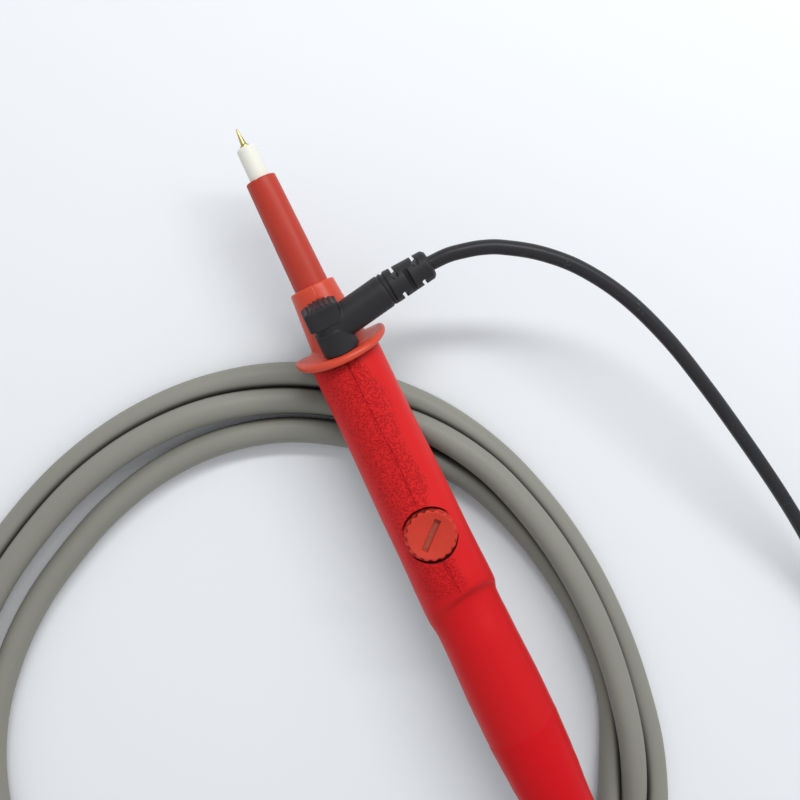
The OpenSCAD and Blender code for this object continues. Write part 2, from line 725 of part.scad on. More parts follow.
// arm of the plug along +X with two ring grooves, and the slotted relief behind it
module plug_arm() {
    rotate([0, 90, 0]) rotate_extrude($fn = fine)
        polygon([
            [0, 0], [arm_r, 0], [arm_r, arm_end_x - 0.9], [arm_r - 0.4, arm_end_x - 0.8], [arm_r - 0.4, arm_end_x - 0.3],
            [arm_r, arm_end_x - 0.2], [arm_r, arm_end_x + 0.2], [arm_r - 0.4, arm_end_x + 0.3], [arm_r - 0.4, arm_end_x + 0.8],
            [relief_core_r, arm_end_x + 0.8], [0, arm_end_x + 0.8]
        ]);
    translate([arm_end_x, 0, 0]) rotate([0, 0, relief_turn]) {
        rotate([0, 90, 0]) cylinder(h = relief_len_x - 0.6, r = relief_core_r, $fn = fine);
        difference() {
            rotate([0, 90, 0]) rotate_extrude($fn = fine)
                polygon([
                    [0, 0.7], [arm_r - 0.05, 0.7], [4.25, 8], [4.05, relief_len_x - 0.8], [3.3, relief_len_x], [0, relief_len_x]
                ]);
            for (x = side_slots, side = [-1, 1])
                translate([x - slot_w / 2, side > 0 ? 1.3 : -11.3, -10]) cube([slot_w, 10, 20]);
            for (x = top_slots, side = [-1, 1])
                translate([x - slot_w / 2, -10, side > 0 ? 1.3 : -11.3]) cube([slot_w, 20, 10]);
        }
    }
}

module ground_plug_pin() color("gold")
    socket_frame() rotate([90, 0, 0]) rotate_extrude($fn = 48)
        polygon([
            [0, -plug_foot - 7.5], [plug_pin_r, -plug_foot - 7.5], [plug_pin_r, -1],
            [1.2, -0.6], [1.2, plug_pin_len - 3.5], [1.6, plug_pin_len - 3.1],
            [1.6, plug_pin_len - 2.4], [0.8, plug_pin_len - 1.6], [0, plug_pin_len - 1.6]
        ]);

// bowed contact leaves round the pin
module ground_plug_spring() color("gold")
    socket_frame() rotate([90, 0, 0]) difference() {
        rotate_extrude($fn = 48)
            polygon([
                [1.25, 0], [1.5, 0], [1.96, 4], [1.96, 8], [1.5, 11.8], [1.25, 11.8], [1.7, 8],
                [1.7, 4]
            ]);
        for (i = [0 : 5])
            rotate([0, 0, 60 * i]) translate([0, -0.2, 1.4]) cube([3, 0.4, 9]);
    }

module ground_lead() color([0.12, 0.12, 0.13])
    swept(on_table(spline(lead_route, 2), lead_d / 2), lead_d / 2, 8);

module ground_lead_coil() color([0.12, 0.12, 0.13])
    translate([lead_coil_at[0], lead_coil_at[1], table_z])
        rotate_extrude($fn = fine)
            polygon([
                [lead_coil_in_r + 1.2, 0], [lead_coil_out_r - 1.2, 0], [lead_coil_out_r, 1.2],
                [lead_coil_out_r, 6.8], [lead_coil_out_r - 1.2, 8], [lead_coil_in_r + 1.2, 8],
                [lead_coil_in_r, 6.8], [lead_coil_in_r, 1.2]
            ]);

module ground_lead_end() color([0.12, 0.12, 0.13]) swept(spline(lead_end_route, 2), lead_d / 2, 8);

// side outline of a jaw, from its heel to its nose, with teeth along the bite
function jaw_teeth(y0, y1, n, up) = [
    for (i = [0 : n - 1], k = [0, 1])
        [y0 + (y1 - y0) * (i + k * 0.5) / n, k == 0 ? 0.1 * up : clip_tooth * 0.45 * up]
];

// a folded sheet trough: an outline drawn in Y and Z, as wide as given, open towards the bite
module trough(outline, inner, width) {
    rotate([90, 0, 90]) translate([0, 0, -width / 2]) difference() {
        linear_extrude(width) polygon(outline);
        translate([0, 0, clip_wall]) linear_extrude(width - 2 * clip_wall) polygon(inner);
    }
}

module clip_lower_jaw() color("silver")
    translate(clip_at) difference() {
        union() {
            trough(
                concat(
                    [[8, -3.4], [30, -3.6], [clip_tip_y - 2, -1.7], [clip_tip_y, -0.9], [clip_tip_y, clip_pivot_z - 0.15]],
                    [for (i = [0 : 8]) each [
                        [clip_tip_y - 0.6 - i * 2, clip_pivot_z - 1.1],
                        [clip_tip_y - 1.6 - i * 2, clip_pivot_z - 0.15]
                    ]],
                    [[26, clip_pivot_z - 1.1], [24, 3.6], [19, 3.8], [16, 0.5], [8, -0.6]]
                ),
                [[7, -2.9], [30, -3.1], [clip_tip_y - 2.2, -1.2], [clip_tip_y - 0.7, -0.5], [clip_tip_y - 0.7, 9], [7, 9]],
                clip_w
            );
            // crimp barrel for the lead
            translate([0, 8.4, 0]) rotate([90, 0, 0]) difference() {
                cylinder(h = 7.4, r = 2.6, $fn = 48);
                translate([0, 0, 1]) cylinder(h = 8, r = 2.02, $fn = 48);
            }
            translate([-1.5, 7, -3.4]) cube([3, 3, 2]);
        }
        translate([0, clip_pivot_y, clip_pivot_z]) rotate([0, 90, 0])
            cylinder(h = 20, r = clip_pivot_r + 0.01, center = true, $fn = 48);
    }

module clip_upper_jaw() color("silver") {
    inner_w = clip_w - 2 * clip_wall - 0.5;
    translate(clip_at) difference() {
        trough(
            concat(
                [[clip_tip_y, clip_pivot_z + 0.15], [clip_tip_y, clip_pivot_z + 2], [clip_tip_y - 2.5, clip_pivot_z + 3.4],
                    [30, clip_pivot_z + 4.2], [22, clip_pivot_z + 3.6], [3, clip_pivot_z + 9], [2.4, clip_pivot_z + 7.6],
                    [17, clip_pivot_z + 1.6], [18.6, clip_pivot_z - 1.6], [23.4, clip_pivot_z - 1.6], [26, clip_pivot_z + 1]],
                [for (i = [8 : -1 : 0]) each [
                    [clip_tip_y - 1.6 - i * 2, clip_pivot_z + 1.1],
                    [clip_tip_y - 0.6 - i * 2, clip_pivot_z + 0.15]
                ]]
            ),
            [[clip_tip_y - 0.7, -9], [clip_tip_y - 0.7, clip_pivot_z + 1.7], [clip_tip_y - 2.8, clip_pivot_z + 2.9],
                [30, clip_pivot_z + 3.7], [22.2, clip_pivot_z + 3.1], [2, clip_pivot_z + 8.8], [1, -9]],
            inner_w
        );
        translate([0, clip_pivot_y, clip_pivot_z]) rotate([0, 90, 0])
            cylinder(h = 20, r = clip_pivot_r + slip, center = true, $fn = 48);
    }
}

// moulded sleeve over the lead's barrel and the lower handle
module clip_lower_sleeve() color([0.12, 0.12, 0.13])
    translate(clip_at) difference() {
        translate([0, 17, 0]) rotate([90, 0, 0])
            rotate_extrude($fn = 64)
                polygon([[0, 0], [4.1, 0], [4.1, 11], [3.2, 17], [3, 21], [0, 21]]);
        translate([0, 8.5, 0]) rotate([90, 0, 0]) cylinder(h = 8, r = 2.62, $fn = 48);
        translate([0, 2, 0]) rotate([90, 0, 0]) cylinder(h = 10, r = 2.02, $fn = 48);
        translate([-clip_w / 2 - 0.05, 6.9, -3.65]) cube([clip_w + 0.1, 12, 12]);
        translate([-6, 8, 1.2]) cube([12, 12, 12]);
    }

module clip_upper_sleeve() color([0.12, 0.12, 0.13])
    translate(clip_at) translate([0, 0, clip_pivot_z]) rotate([90, 0, 90]) {
        w = clip_w - 2 * clip_wall + 0.6;
        translate([0, 0, -w / 2]) linear_extrude(w)
            polygon([[2, 9.4], [13.4, 6.15], [13.6, 7.2], [3, 10.6], [1.4, 10.2]]);
    }

module clip_pivot() color("silver")
    translate(clip_at) translate([0, clip_pivot_y, clip_pivot_z]) rotate([0, 90, 0]) {
        cylinder(h = clip_w + 0.4, r = clip_pivot_r, center = true, $fn = 48);
        for (s = [-1, 1]) translate([0, 0, s * (clip_w / 2 + 0.3)])
            cylinder(h = 0.5, r = 1.4, center = true, $fn = 48);
    }

module clip_spring() color("silver")
    translate(clip_at) translate([0, clip_pivot_y, clip_pivot_z])
        rotate([0, 0, 90]) translate([0, -1.7, 0])
            coil_spring(r = 1.3, wire_r = 0.22, length = 3.4, turns = 4);

contact_needle();
tip_insulator();
nose_tube();
contact_spring();
resistor_front_cap();
divider_resistor();
resistor_rear_cap();
front_guard();
ground_socket();
signal_wire();
ground_wire();
handle_grip();
trimmer_cap();
cap_o_ring();
circuit_board();
trimmer_body();
trimmer_rotor();
low_side_resistor();
low_side_capacitor();
rear_body();
tail_cap();
cable_ferrule();
cable_core();
bend_relief();
probe_cable();
probe_cable_coil();
probe_cable_end();
bnc_boot();
bnc_ferrule();
bnc_body();
bnc_insulator();
bnc_pin();
bnc_gasket();
bnc_coupling_ring();
ground_plug_body();
ground_plug_pin();
ground_plug_spring();
ground_lead();
ground_lead_coil();
ground_lead_end();
clip_lower_jaw();
clip_upper_jaw();
clip_lower_sleeve();
clip_upper_sleeve();
clip_pivot();
clip_spring();
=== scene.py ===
import bisect
import math

import bmesh
import bpy
from mathutils import Matrix, Vector


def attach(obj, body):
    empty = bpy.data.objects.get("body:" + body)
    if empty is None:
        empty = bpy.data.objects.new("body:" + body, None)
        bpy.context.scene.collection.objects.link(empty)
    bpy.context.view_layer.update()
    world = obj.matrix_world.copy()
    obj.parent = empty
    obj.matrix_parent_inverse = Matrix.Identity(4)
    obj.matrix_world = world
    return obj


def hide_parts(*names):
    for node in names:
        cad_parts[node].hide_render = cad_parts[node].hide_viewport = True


# High voltage probe lying on its coiled cable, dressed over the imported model.
# Sizes in the dictionaries are millimetres and degrees, each in its piece's own frame.
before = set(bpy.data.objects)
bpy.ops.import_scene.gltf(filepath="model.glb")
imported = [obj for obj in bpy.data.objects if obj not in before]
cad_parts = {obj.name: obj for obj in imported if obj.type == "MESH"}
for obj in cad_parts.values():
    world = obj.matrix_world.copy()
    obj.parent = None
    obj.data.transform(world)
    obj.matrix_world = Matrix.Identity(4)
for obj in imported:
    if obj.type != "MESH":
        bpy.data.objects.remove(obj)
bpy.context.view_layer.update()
mm = 0.001
tableZ = -17.6
scene = bpy.context.scene
print("frame loaded")


def metres(point):
    return Vector(point) * mm


def slopeAt(table, row, k):
    # slope of one column at a row: flat at a turning point
    first, last = max(row - 1, 0), min(row + 1, len(table) - 1)
    left = (table[row][k] - table[first][k]) / ((table[row][0] - table[first][0]) or 1)
    right = (table[last][k] - table[row][k]) / ((table[last][0] - table[row][0]) or 1)
    if row == 0:
        return right
    if row == len(table) - 1:
        return left
    return 2 * left * right / (left + right) if left * right > 0 else 0.0


def smoothThrough(table, x):
    # a smooth curve through rows of (x, value, ...), level past both ends
    keys = [row[0] for row in table]
    x = min(max(x, keys[0]), keys[-1])
    i = min(max(bisect.bisect_right(keys, x) - 1, 0), len(keys) - 2)
    a, b = table[i], table[i + 1]
    span = b[0] - a[0]
    t = (x - a[0]) / span
    t2, t3 = t * t, t * t * t
    result = []
    for k in range(1, len(a)):
        m0, m1 = slopeAt(table, i, k) * span, slopeAt(table, i + 1, k) * span
        nearer = (2 * t3 - 3 * t2 + 1) * a[k] + (t3 - 2 * t2 + t) * m0
        result.append(nearer + (3 * t2 - 2 * t3) * b[k] + (t3 - t2) * m1)
    return result[0] if len(result) == 1 else result


def smoothStep(low, high, x):
    t = min(max((x - low) / (high - low), 0.0), 1.0)
    return t * t * (3 - 2 * t)


# Camera and cords come first

shot = {
    "lens": 54.0, "sensor": 36.0, "distance": 343.52,
    "lookAt": (8.824, 44.744, tableZ),
    "upTurn": 25.421,   # the picture's up direction, turned from +Y towards +X
    "tilt": 4.5,        # the camera stands a little below the picture's middle
    "lean": -3.6,       # and is turned about the probe's own axis
}


def makeCamera():
    turn, tilt = math.radians(shot["upTurn"]), math.radians(shot["tilt"])
    lean = Matrix.Rotation(math.radians(shot["lean"]), 3, "Y")
    up = Vector((math.sin(turn), math.cos(turn), 0))
    right = lean @ Vector((math.cos(turn), -math.sin(turn), 0))
    look = lean @ (-math.sin(tilt) * up - math.cos(tilt) * Vector((0, 0, 1)))
    top = lean @ (math.cos(tilt) * up - math.sin(tilt) * Vector((0, 0, 1)))
    camera = bpy.data.objects.new("camera", bpy.data.cameras.new("camera"))
    scene.collection.objects.link(camera)
    camera.data.lens = shot["lens"]
    camera.data.sensor_width = shot["sensor"]
    camera.data.clip_start = 0.01
    turned = Matrix((right, top, -look)).transposed().to_4x4()
    camera.matrix_world = Matrix.Translation(metres(shot["lookAt"]) - look * shot["distance"] * mm) @ turned
    scene.camera = camera


probeCable = {
    "diameter": 7.3, "length": 1.945,
    "exit": (0, -130, 0),
    "route": [
        (0, -100.1, 0), (0, -130, 0), (0, -142, -1), (-2, -153, -4), (-8, -164, -8.5),
        (-18, -173, -12), (-31, -177.9, -13.95), (-47, -178.4, -13.95), (-64, -175, -13.95),
        (-82, -167.5, -13.95), (-99, -156.5, -13.95), (-114, -142, -13.95),
        (-127, -125, -13.95), (-137, -107, -13.95), (-143.6, -91, -13.95), (-147.3, -78.5, -13.95),
    ],
    "coilCentre": (-60.4, -28.4),
    # angle from +X, radius of the first turn there
    "firstTurn": [
        (-34, 106.5), (-22, 101.55), (-10, 98.45), (2, 97.05), (14, 97.45), (26, 99.05), (38, 101.15),
        (53, 102.9), (68, 103.15), (80, 101.95), (92, 100.45), (104, 99.05), (116, 98.2), (130, 98.6),
        (155, 100.6), (180, 101.9), (210, 100.2), (235, 98.5), (265, 101.5), (290, 107.5), (308, 110),
        (318, 109.2),
    ],
    "joinAngle": 210,
    "wound": (12, 980, 12),   # degrees travelled round the coil: first, last, step
    # degrees travelled, how far inside the first turn, how far above the table
    "lay": [
        (0, 0, 0), (255, 0, 0), (350, 7.4, 0), (390, 6.6, 2.6), (450, 6.1, 4.05), (472, 5.8, 4.5),
        (486, 6, 4.2), (498, 6.6, 3.1), (510, 7.3, 0.5), (520, 7.2, 0.7), (532, 5.3, 5.05), (544, 4.85, 6.2),
        (556, 4.9, 6.5), (568, 5.1, 6.8), (580, 5.5, 7.05), (592, 6.4, 7), (602, 7.2, 5), (616, 7.4, 0.4),
        (660, 7.5, 0), (720, 14.9, 0), (750, 16, 0), (810, 17, 0), (850, 15.6, 0), (880, 15.2, 0),
        (892, 12.2, 0), (904, 9.9, 0), (916, 8.9, 0), (928, 8.1, 0), (940, 7.6, 0), (952, 8.7, 0),
        (962, 12.7, 0), (972, 14.7, 0), (980, 15, 0),
    ],
    "endRoute": [
        (-9, -104, -13.95), (-21, -107, -13.95), (-33, -105.2, -13.4), (-43, -100.6, -11.2),
        (-52, -96.3, -10.35), (-60.1, -92.5, -10.35),
    ],
}

groundLead = {
    "diameter": 4.0, "length": 0.706,
    "exit": (30.2, 75.6, 10.9),
    "route": [
        (30.2, 75.6, 10.9), (35.4, 75.6, 11.4), (39.8, 74.8, 11.8), (44.2, 73.6, 12), (48.8, 71.6, 12),
        (57.7, 65.7, 11.4), (66, 57.5, 10.2), (73.8, 45.5, 8.6), (80.2, 30.1, 6.4), (84.9, 13.7, 3.8),
        (89.1, -3.9, 0.8), (93.1, -22.3, -2.8), (96, -38.5, -6.6), (97.8, -54.5, -10.4),
        (98.4, -70, -13.8), (98.2, -84, -15.6),
    ],
    "coilCentre": (122, -84),
    # angle from +X, radius of the turn, height of its centre above the table
    "turns": [(180, 23.8, 2), (530, 24, 2), (570, 20, 2), (880, 20, 2), (925, 20, 6), (1200, 20, 6),
              (1300, 23.6, 6), (1440, 24, 6)],
    "wound": (195, 1425, 15),
    "endRoute": [
        (146, -84, -11.6), (146.2, -75, -12), (146.4, -66, -13), (146.5, -57, -13.4), (146.5, -50, -13.4),
    ],
}


def coilPoints():
    c = probeCable
    centreX, centreY = c["coilCentre"]
    rows = c["firstTurn"]
    around = [(a - 360, r) for a, r in rows[-2:]] + rows + [(a + 360, r) for a, r in rows[:2]]
    first, last, step = c["wound"]
    for travelled in range(first, last + 1, step):
        angle = c["joinAngle"] - travelled
        inward, rise = smoothThrough(c["lay"], travelled)
        r = smoothThrough(around, (angle - rows[0][0]) % 360 + rows[0][0]) - inward
        a = math.radians(angle)
        yield (centreX + r * math.cos(a), centreY + r * math.sin(a), tableZ + c["diameter"] / 2 + rise)


def leadCoilPoints():
    first, last, step = groundLead["wound"]
    centreX, centreY = groundLead["coilCentre"]
    for angle in range(first, last + 1, step):
        r, height = smoothThrough(groundLead["turns"], angle)
        a = math.radians(angle)
        yield (centreX + r * math.cos(a), centreY + r * math.sin(a), tableZ + height)


def makeCord(name, laid, coil):
    # one open Bezier spline through the route and the coil, round in section, that never dips between points
    data = bpy.data.curves.new(name, "CURVE")
    data.dimensions = "3D"
    data.resolution_u = 8
    data.bevel_depth = laid["diameter"] / 2 * mm
    data.bevel_resolution = 10
    data.use_fill_caps = True
    spline = data.splines.new("BEZIER")
    spots = [Vector(p) for p in laid["route"] + list(coil) + laid["endRoute"]]
    spline.bezier_points.add(len(spots) - 1)
    for i, knot in enumerate(spline.bezier_points):
        before, here, after = spots[max(i - 1, 0)], spots[i], spots[min(i + 1, len(spots) - 1)]
        heading = (after - before).xy.normalized()
        back, ahead = (here - before).xy.length, (after - here).xy.length
        falls = [(here.z - before.z) / back if back else 0.0, (after.z - here.z) / ahead if ahead else 0.0]
        rise = 2 * falls[0] * falls[1] / (falls[0] + falls[1]) if falls[0] * falls[1] > 0 else 0.0
        way = Vector((heading.x, heading.y, rise))
        knot.handle_left_type = knot.handle_right_type = "FREE"
        knot.co = metres(here)
        knot.handle_left = metres(here - way * (back or ahead) / 3)
        knot.handle_right = metres(here + way * (ahead or back) / 3)
    cord = bpy.data.objects.new(name, data)
    scene.collection.objects.link(cord)
    return cord


makeCamera()
cable = makeCord("signalCable", probeCable, coilPoints())
lead = makeCord("groundLead", groundLead, leadCoilPoints())
print("cords laid")


# Mesh helpers

def makeObject(name, mesh):
    piece = bpy.data.objects.new(name, mesh)
    scene.collection.objects.link(piece)
    return piece


def meshFrom(name, verts, faces):
    mesh = bpy.data.meshes.new(name)
    mesh.from_pydata([metres(v) for v in verts], [], faces)
    mesh.update()
    bm = bmesh.new()
    bm.from_mesh(mesh)
    bmesh.ops.remove_doubles(bm, verts=bm.verts, dist=1e-7)
    bmesh.ops.recalc_face_normals(bm, faces=bm.faces)
    bm.to_mesh(mesh)
    bm.free()
    mesh.shade_smooth()
    return makeObject(name, mesh)


def shell(name, rings, closed=False):
    # a skin over rings of points: the last ring joins the first, or both ends are shut by a fan
    n = len(rings[0])
    verts = [p for ring in rings for p in ring]
    faces = []
    for i in range(len(rings) if closed else len(rings) - 1):
        here, there = i * n, (i + 1) % len(rings) * n
        for k in range(n):
            m = (k + 1) % n
            faces.append((here + k, here + m, there + m, there + k))
    if not closed:
        for ring, start, order in ((rings[0], 0, -1), (rings[-1], (len(rings) - 1) * n, 1)):
            verts.append(tuple(sum((Vector(p) for p in ring), Vector()) / n))
            for k in range(n):
                faces.append((start + k, start + (k + 1) % n, len(verts) - 1)[::order])
    return meshFrom(name, verts, faces)


def topDense(sides):
    # angles round a section, twice as close together on top as at the sides
    return [u + 0.5 * math.cos(u) for u in (math.tau * k / sides for k in range(sides))]


def circle(r, turns, heights):
    # a ring about the probe's axis, with its own y at each angle
    return [(r * math.cos(a), y, r * math.sin(a)) for a, y in zip(turns, heights)]


def lathe(name, profile, sides=96, closed=False):
    # profile points are (radius, y)
    turns = [math.tau * k / sides for k in range(sides)]
    return shell(name, [circle(r, turns, [y] * sides) for r, y in profile], closed)


def prism(name, outline, low, high, axis="Y"):
    # an outline pushed along one axis: (x, z) points along Y, or (x, y) points along Z
    place = (lambda p, h: (p[0], h, p[1])) if axis == "Y" else (lambda p, h: (p[0], p[1], h))
    return shell(name, [[place(p, h) for p in outline] for h in (low, high)])


def rectangle(x0, x1, y0, y1):
    return [(x0, y0), (x1, y0), (x1, y1), (x0, y1)]


def roundCorner(centre, radius, start, end, steps=6):
    # points of an arc
    turns = [math.radians(start + (end - start) * i / steps) for i in range(steps + 1)]
    return [(centre[0] + radius * math.cos(a), centre[1] + radius * math.sin(a)) for a in turns]


def roundedBox(x0, x1, z0, z1, r):
    return (roundCorner((x1 - r, z1 - r), r, 0, 90) + roundCorner((x0 + r, z1 - r), r, 90, 180)
            + roundCorner((x0 + r, z0 + r), r, 180, 270) + roundCorner((x1 - r, z0 + r), r, 270, 360))


def applied(piece):
    # bakes the modifiers into a plain mesh
    graph = bpy.context.evaluated_depsgraph_get()
    baked = bpy.data.meshes.new_from_object(piece.evaluated_get(graph))
    old = piece.data
    piece.modifiers.clear()
    piece.data = baked
    bpy.data.meshes.remove(old)
    return piece


def cut(piece, tool):
    modifier = piece.modifiers.new("cut", "BOOLEAN")
    modifier.operation = "DIFFERENCE"
    modifier.object = tool
    modifier.solver = "EXACT"
    applied(piece)
    bpy.data.objects.remove(tool)
    return piece


def joined(name, parts):
    # several closed meshes in one object, each where it is
    bm = bmesh.new()
    for part in parts:
        bm.from_mesh(part.data)
        bpy.data.objects.remove(part)
    mesh = bpy.data.meshes.new(name)
    bm.to_mesh(mesh)
    bm.free()
    return makeObject(name, mesh)


def softened(piece, voxel, rounds):
    # runs the joined solids together as a moulding does, and takes the sharpness off its edges
    remesh = piece.modifiers.new("remesh", "REMESH")
    remesh.mode = "VOXEL"
    remesh.voxel_size = voxel * mm
    smooth = piece.modifiers.new("smooth", "SMOOTH")
    smooth.factor = 0.5
    smooth.iterations = rounds
    applied(piece).data.shade_smooth()
    return piece


def sharpen(piece, degrees=35):
    # smooth shading that breaks at real edges
    piece.data.shade_smooth()
    piece.data.set_sharp_from_angle(angle=math.radians(degrees))
    return piece


def moved(piece, *steps):
    # applies each matrix in turn to the mesh itself
    for step in steps:
        piece.data.transform(step)
    return piece


def shift(x, y, z):
    return Matrix.Translation(metres((x, y, z)))


def turn(degrees, axis):
    return Matrix.Rotation(math.radians(degrees), 4, axis)


def addNode(tree, kind, inputs=None, **settings):
    # a node with its settings, then the inputs that hold a fixed value
    node = tree.nodes.new(kind)
    for key, value in settings.items():
        setattr(node, key, value)
    for socketName, value in (inputs or {}).items():
        node.inputs[socketName].default_value = value
    return node


def connect(tree, *wires):
    # each wire is a node and its output, then a node and its input
    for source, output, target, entry in wires:
        tree.links.new(source.outputs[output], target.inputs[entry])


def startGroup(name, kind, inputs, outputs):
    # an empty node group: its inputs with their usual values, which also give their types, and its outputs
    tree = bpy.data.node_groups.new(name, kind)
    shapes = {int: "NodeSocketInt", float: "NodeSocketFloat", tuple: "NodeSocketColor",
              type(None): "NodeSocketMaterial"}
    for label, value in inputs.items():
        made = tree.interface.new_socket(label, in_out="INPUT", socket_type=shapes[type(value)])
        if value is not None:
            made.default_value = value
    for label, shape in outputs.items():
        tree.interface.new_socket(label, in_out="OUTPUT", socket_type=shape)
    return tree, addNode(tree, "NodeGroupInput"), addNode(tree, "NodeGroupOutput")


def makeRodRow():
    # Geometry Nodes: upright rods at even steps along an arc
    tree, start, end = startGroup("rodRow", "GeometryNodeTree", {
        "Count": 7, "Arc Radius": 0.008, "First Angle": 0.0,
        "Step Angle": 0.3, "Rod Radius": 0.0004, "Rod Length": 0.01,
        "Material": None}, {"Geometry": "NodeSocketGeometry"})
    index = addNode(tree, "GeometryNodeInputIndex")
    angle = addNode(tree, "ShaderNodeMath", operation="MULTIPLY_ADD")
    across = addNode(tree, "ShaderNodeMath", operation="COSINE")
    along = addNode(tree, "ShaderNodeMath", operation="SINE")
    way = addNode(tree, "ShaderNodeCombineXYZ")
    place = addNode(tree, "ShaderNodeVectorMath", operation="SCALE")
    points = addNode(tree, "GeometryNodePoints")
    rod = addNode(tree, "GeometryNodeMeshCylinder", {"Vertices": 24})
    spread = addNode(tree, "GeometryNodeInstanceOnPoints")
    real = addNode(tree, "GeometryNodeRealizeInstances")
    coat = addNode(tree, "GeometryNodeSetMaterial")
    connect(tree, (index, 0, angle, 0), (start, "Step Angle", angle, 1), (start, "First Angle", angle, 2),
            (angle, 0, across, 0), (angle, 0, along, 0), (across, 0, way, "X"), (along, 0, way, "Y"),
            (way, 0, place, 0), (start, "Arc Radius", place, "Scale"), (start, "Count", points, "Count"),
            (place, 0, points, "Position"), (points, 0, spread, "Points"), (rod, "Mesh", spread, "Instance"),
            (start, "Rod Radius", rod, "Radius"), (start, "Rod Length", rod, "Depth"), (spread, 0, real, 0),
            (real, 0, coat, "Geometry"), (start, "Material", coat, "Material"), (coat, 0, end, "Geometry"))
    return tree


def rodRow(name, count, arcRadius, firstAngle, stepAngle, rodRadius, rodLength):
    piece = makeObject(name, bpy.data.meshes.new(name))
    modifier = piece.modifiers.new("rods", "NODES")
    modifier.node_group = rodTree
    values = {"Count": count, "Arc Radius": arcRadius * mm, "First Angle": math.radians(firstAngle),
              "Step Angle": math.radians(stepAngle), "Rod Radius": rodRadius * mm,
              "Rod Length": rodLength * mm, "Material": materials["plugBlack"]}
    for entry in rodTree.interface.items_tree:
        if entry.in_out == "INPUT":
            modifier[entry.identifier] = values[entry.name]
    return applied(piece)


# Materials

def makeMouldedSkin():
    # cloudy shade and fine pitting of a moulded or extruded surface
    group, start, end = startGroup("mouldedSkin", "ShaderNodeTree", {
        "Scale": 120.0, "Shade": 0.06, "Roughness": 0.5, "Spread": 0.08,
        "Pits": 1200.0, "Colour": (0.5, 0.5, 0.5, 1)},
        {"Colour": "NodeSocketColor", "Roughness": "NodeSocketFloat", "Height": "NodeSocketFloat"})
    place = addNode(group, "ShaderNodeTexCoord")
    clouds = addNode(group, "ShaderNodeTexNoise", {"Detail": 4})
    pits = addNode(group, "ShaderNodeTexNoise", {"Detail": 2})
    centred = addNode(group, "ShaderNodeMapRange", {"To Min": -1, "To Max": 1})
    shade = addNode(group, "ShaderNodeMath", {2: 1}, operation="MULTIPLY_ADD")
    tint = addNode(group, "ShaderNodeVectorMath", operation="SCALE")
    rough = addNode(group, "ShaderNodeMath", operation="MULTIPLY_ADD")
    connect(group, (place, "Object", clouds, "Vector"), (place, "Object", pits, "Vector"),
            (start, "Scale", clouds, "Scale"), (start, "Pits", pits, "Scale"),
            (clouds, "Fac", centred, "Value"), (centred, "Result", shade, 0), (start, "Shade", shade, 1),
            (start, "Colour", tint, 0), (shade, 0, tint, "Scale"), (centred, "Result", rough, 0),
            (start, "Spread", rough, 1), (start, "Roughness", rough, 2), (tint, 0, end, "Colour"),
            (rough, 0, end, "Roughness"), (pits, "Fac", end, "Height"))
    return group


def makeDust():
    # pale specks and lint that cling to rubber
    group, start, end = startGroup("clingingDust", "ShaderNodeTree", {
        "Colour": (0.03, 0.03, 0.03, 1), "Dust": (0.2, 0.2, 0.2, 1),
        "Scale": 700.0, "Amount": 0.5}, {"Colour": "NodeSocketColor"})
    place = addNode(group, "ShaderNodeTexCoord")
    specks = addNode(group, "ShaderNodeTexVoronoi", feature="F1")
    edge = addNode(group, "ShaderNodeMapRange", {"From Min": 0.22, "From Max": 0.08})
    patches = addNode(group, "ShaderNodeTexNoise", {"Scale": 260})
    some = addNode(group, "ShaderNodeMapRange", {"From Min": 0.5, "From Max": 0.66})
    both = addNode(group, "ShaderNodeMath", operation="MULTIPLY")
    amount = addNode(group, "ShaderNodeMath", operation="MULTIPLY")
    mix = addNode(group, "ShaderNodeMix", data_type="RGBA")
    connect(group, (place, "Object", specks, "Vector"), (place, "Object", patches, "Vector"),
            (start, "Scale", specks, "Scale"), (specks, "Distance", edge, "Value"),
            (patches, "Fac", some, "Value"), (edge, "Result", both, 0), (some, "Result", both, 1),
            (both, 0, amount, 0), (start, "Amount", amount, 1), (amount, 0, mix, 0),
            (start, "Colour", mix, 6), (start, "Dust", mix, 7), (mix, 2, end, "Colour"))
    return group


def makePaintedCreaseShade():
    # painted shade: darkens the creases of a finish where light doesn't reach, standing in for their shadow
    group, start, end = startGroup("paintedCreaseShade", "ShaderNodeTree", {
        "Colour": (0.5, 0.5, 0.5, 1), "Painted Shade": (0.1, 0.1, 0.1, 1), "Openness": 1.0},
        {"Colour": "NodeSocketColor"})
    share = addNode(group, "ShaderNodeMapRange", {"From Min": 0.35, "From Max": 0.9},
                    interpolation_type="SMOOTHSTEP")
    mix = addNode(group, "ShaderNodeMix", data_type="RGBA")
    connect(group, (start, "Openness", share, "Value"), (share, "Result", mix, 0), (start, "Painted Shade", mix, 6),
            (start, "Colour", mix, 7), (mix, 2, end, "Colour"))
    return group


def makeCalmBounce():
    # the white floor beside the probe takes little red from it
    group, start, end = startGroup("calmBounce", "ShaderNodeTree", {
        "Colour": (0.5, 0.5, 0.5, 1), "Calm": (0.4, 0.4, 0.4, 1), "Bounced": 0.0, "Travelled": 0.0,
        "Beyond": 0.006}, {"Colour": "NodeSocketColor"})
    far = addNode(group, "ShaderNodeMath", operation="GREATER_THAN")
    both = addNode(group, "ShaderNodeMath", operation="MULTIPLY")
    mix = addNode(group, "ShaderNodeMix", data_type="RGBA")
    connect(group, (start, "Travelled", far, 0), (start, "Beyond", far, 1), (far, 0, both, 0),
            (start, "Bounced", both, 1), (both, 0, mix, 0), (start, "Colour", mix, 6),
            (start, "Calm", mix, 7), (mix, 2, end, "Colour"))
    return group


mouldedSkin = makeMouldedSkin()
clingingDust = makeDust()
paintedCreaseShade = makePaintedCreaseShade()
calmBounce = makeCalmBounce()
rodTree = makeRodRow()


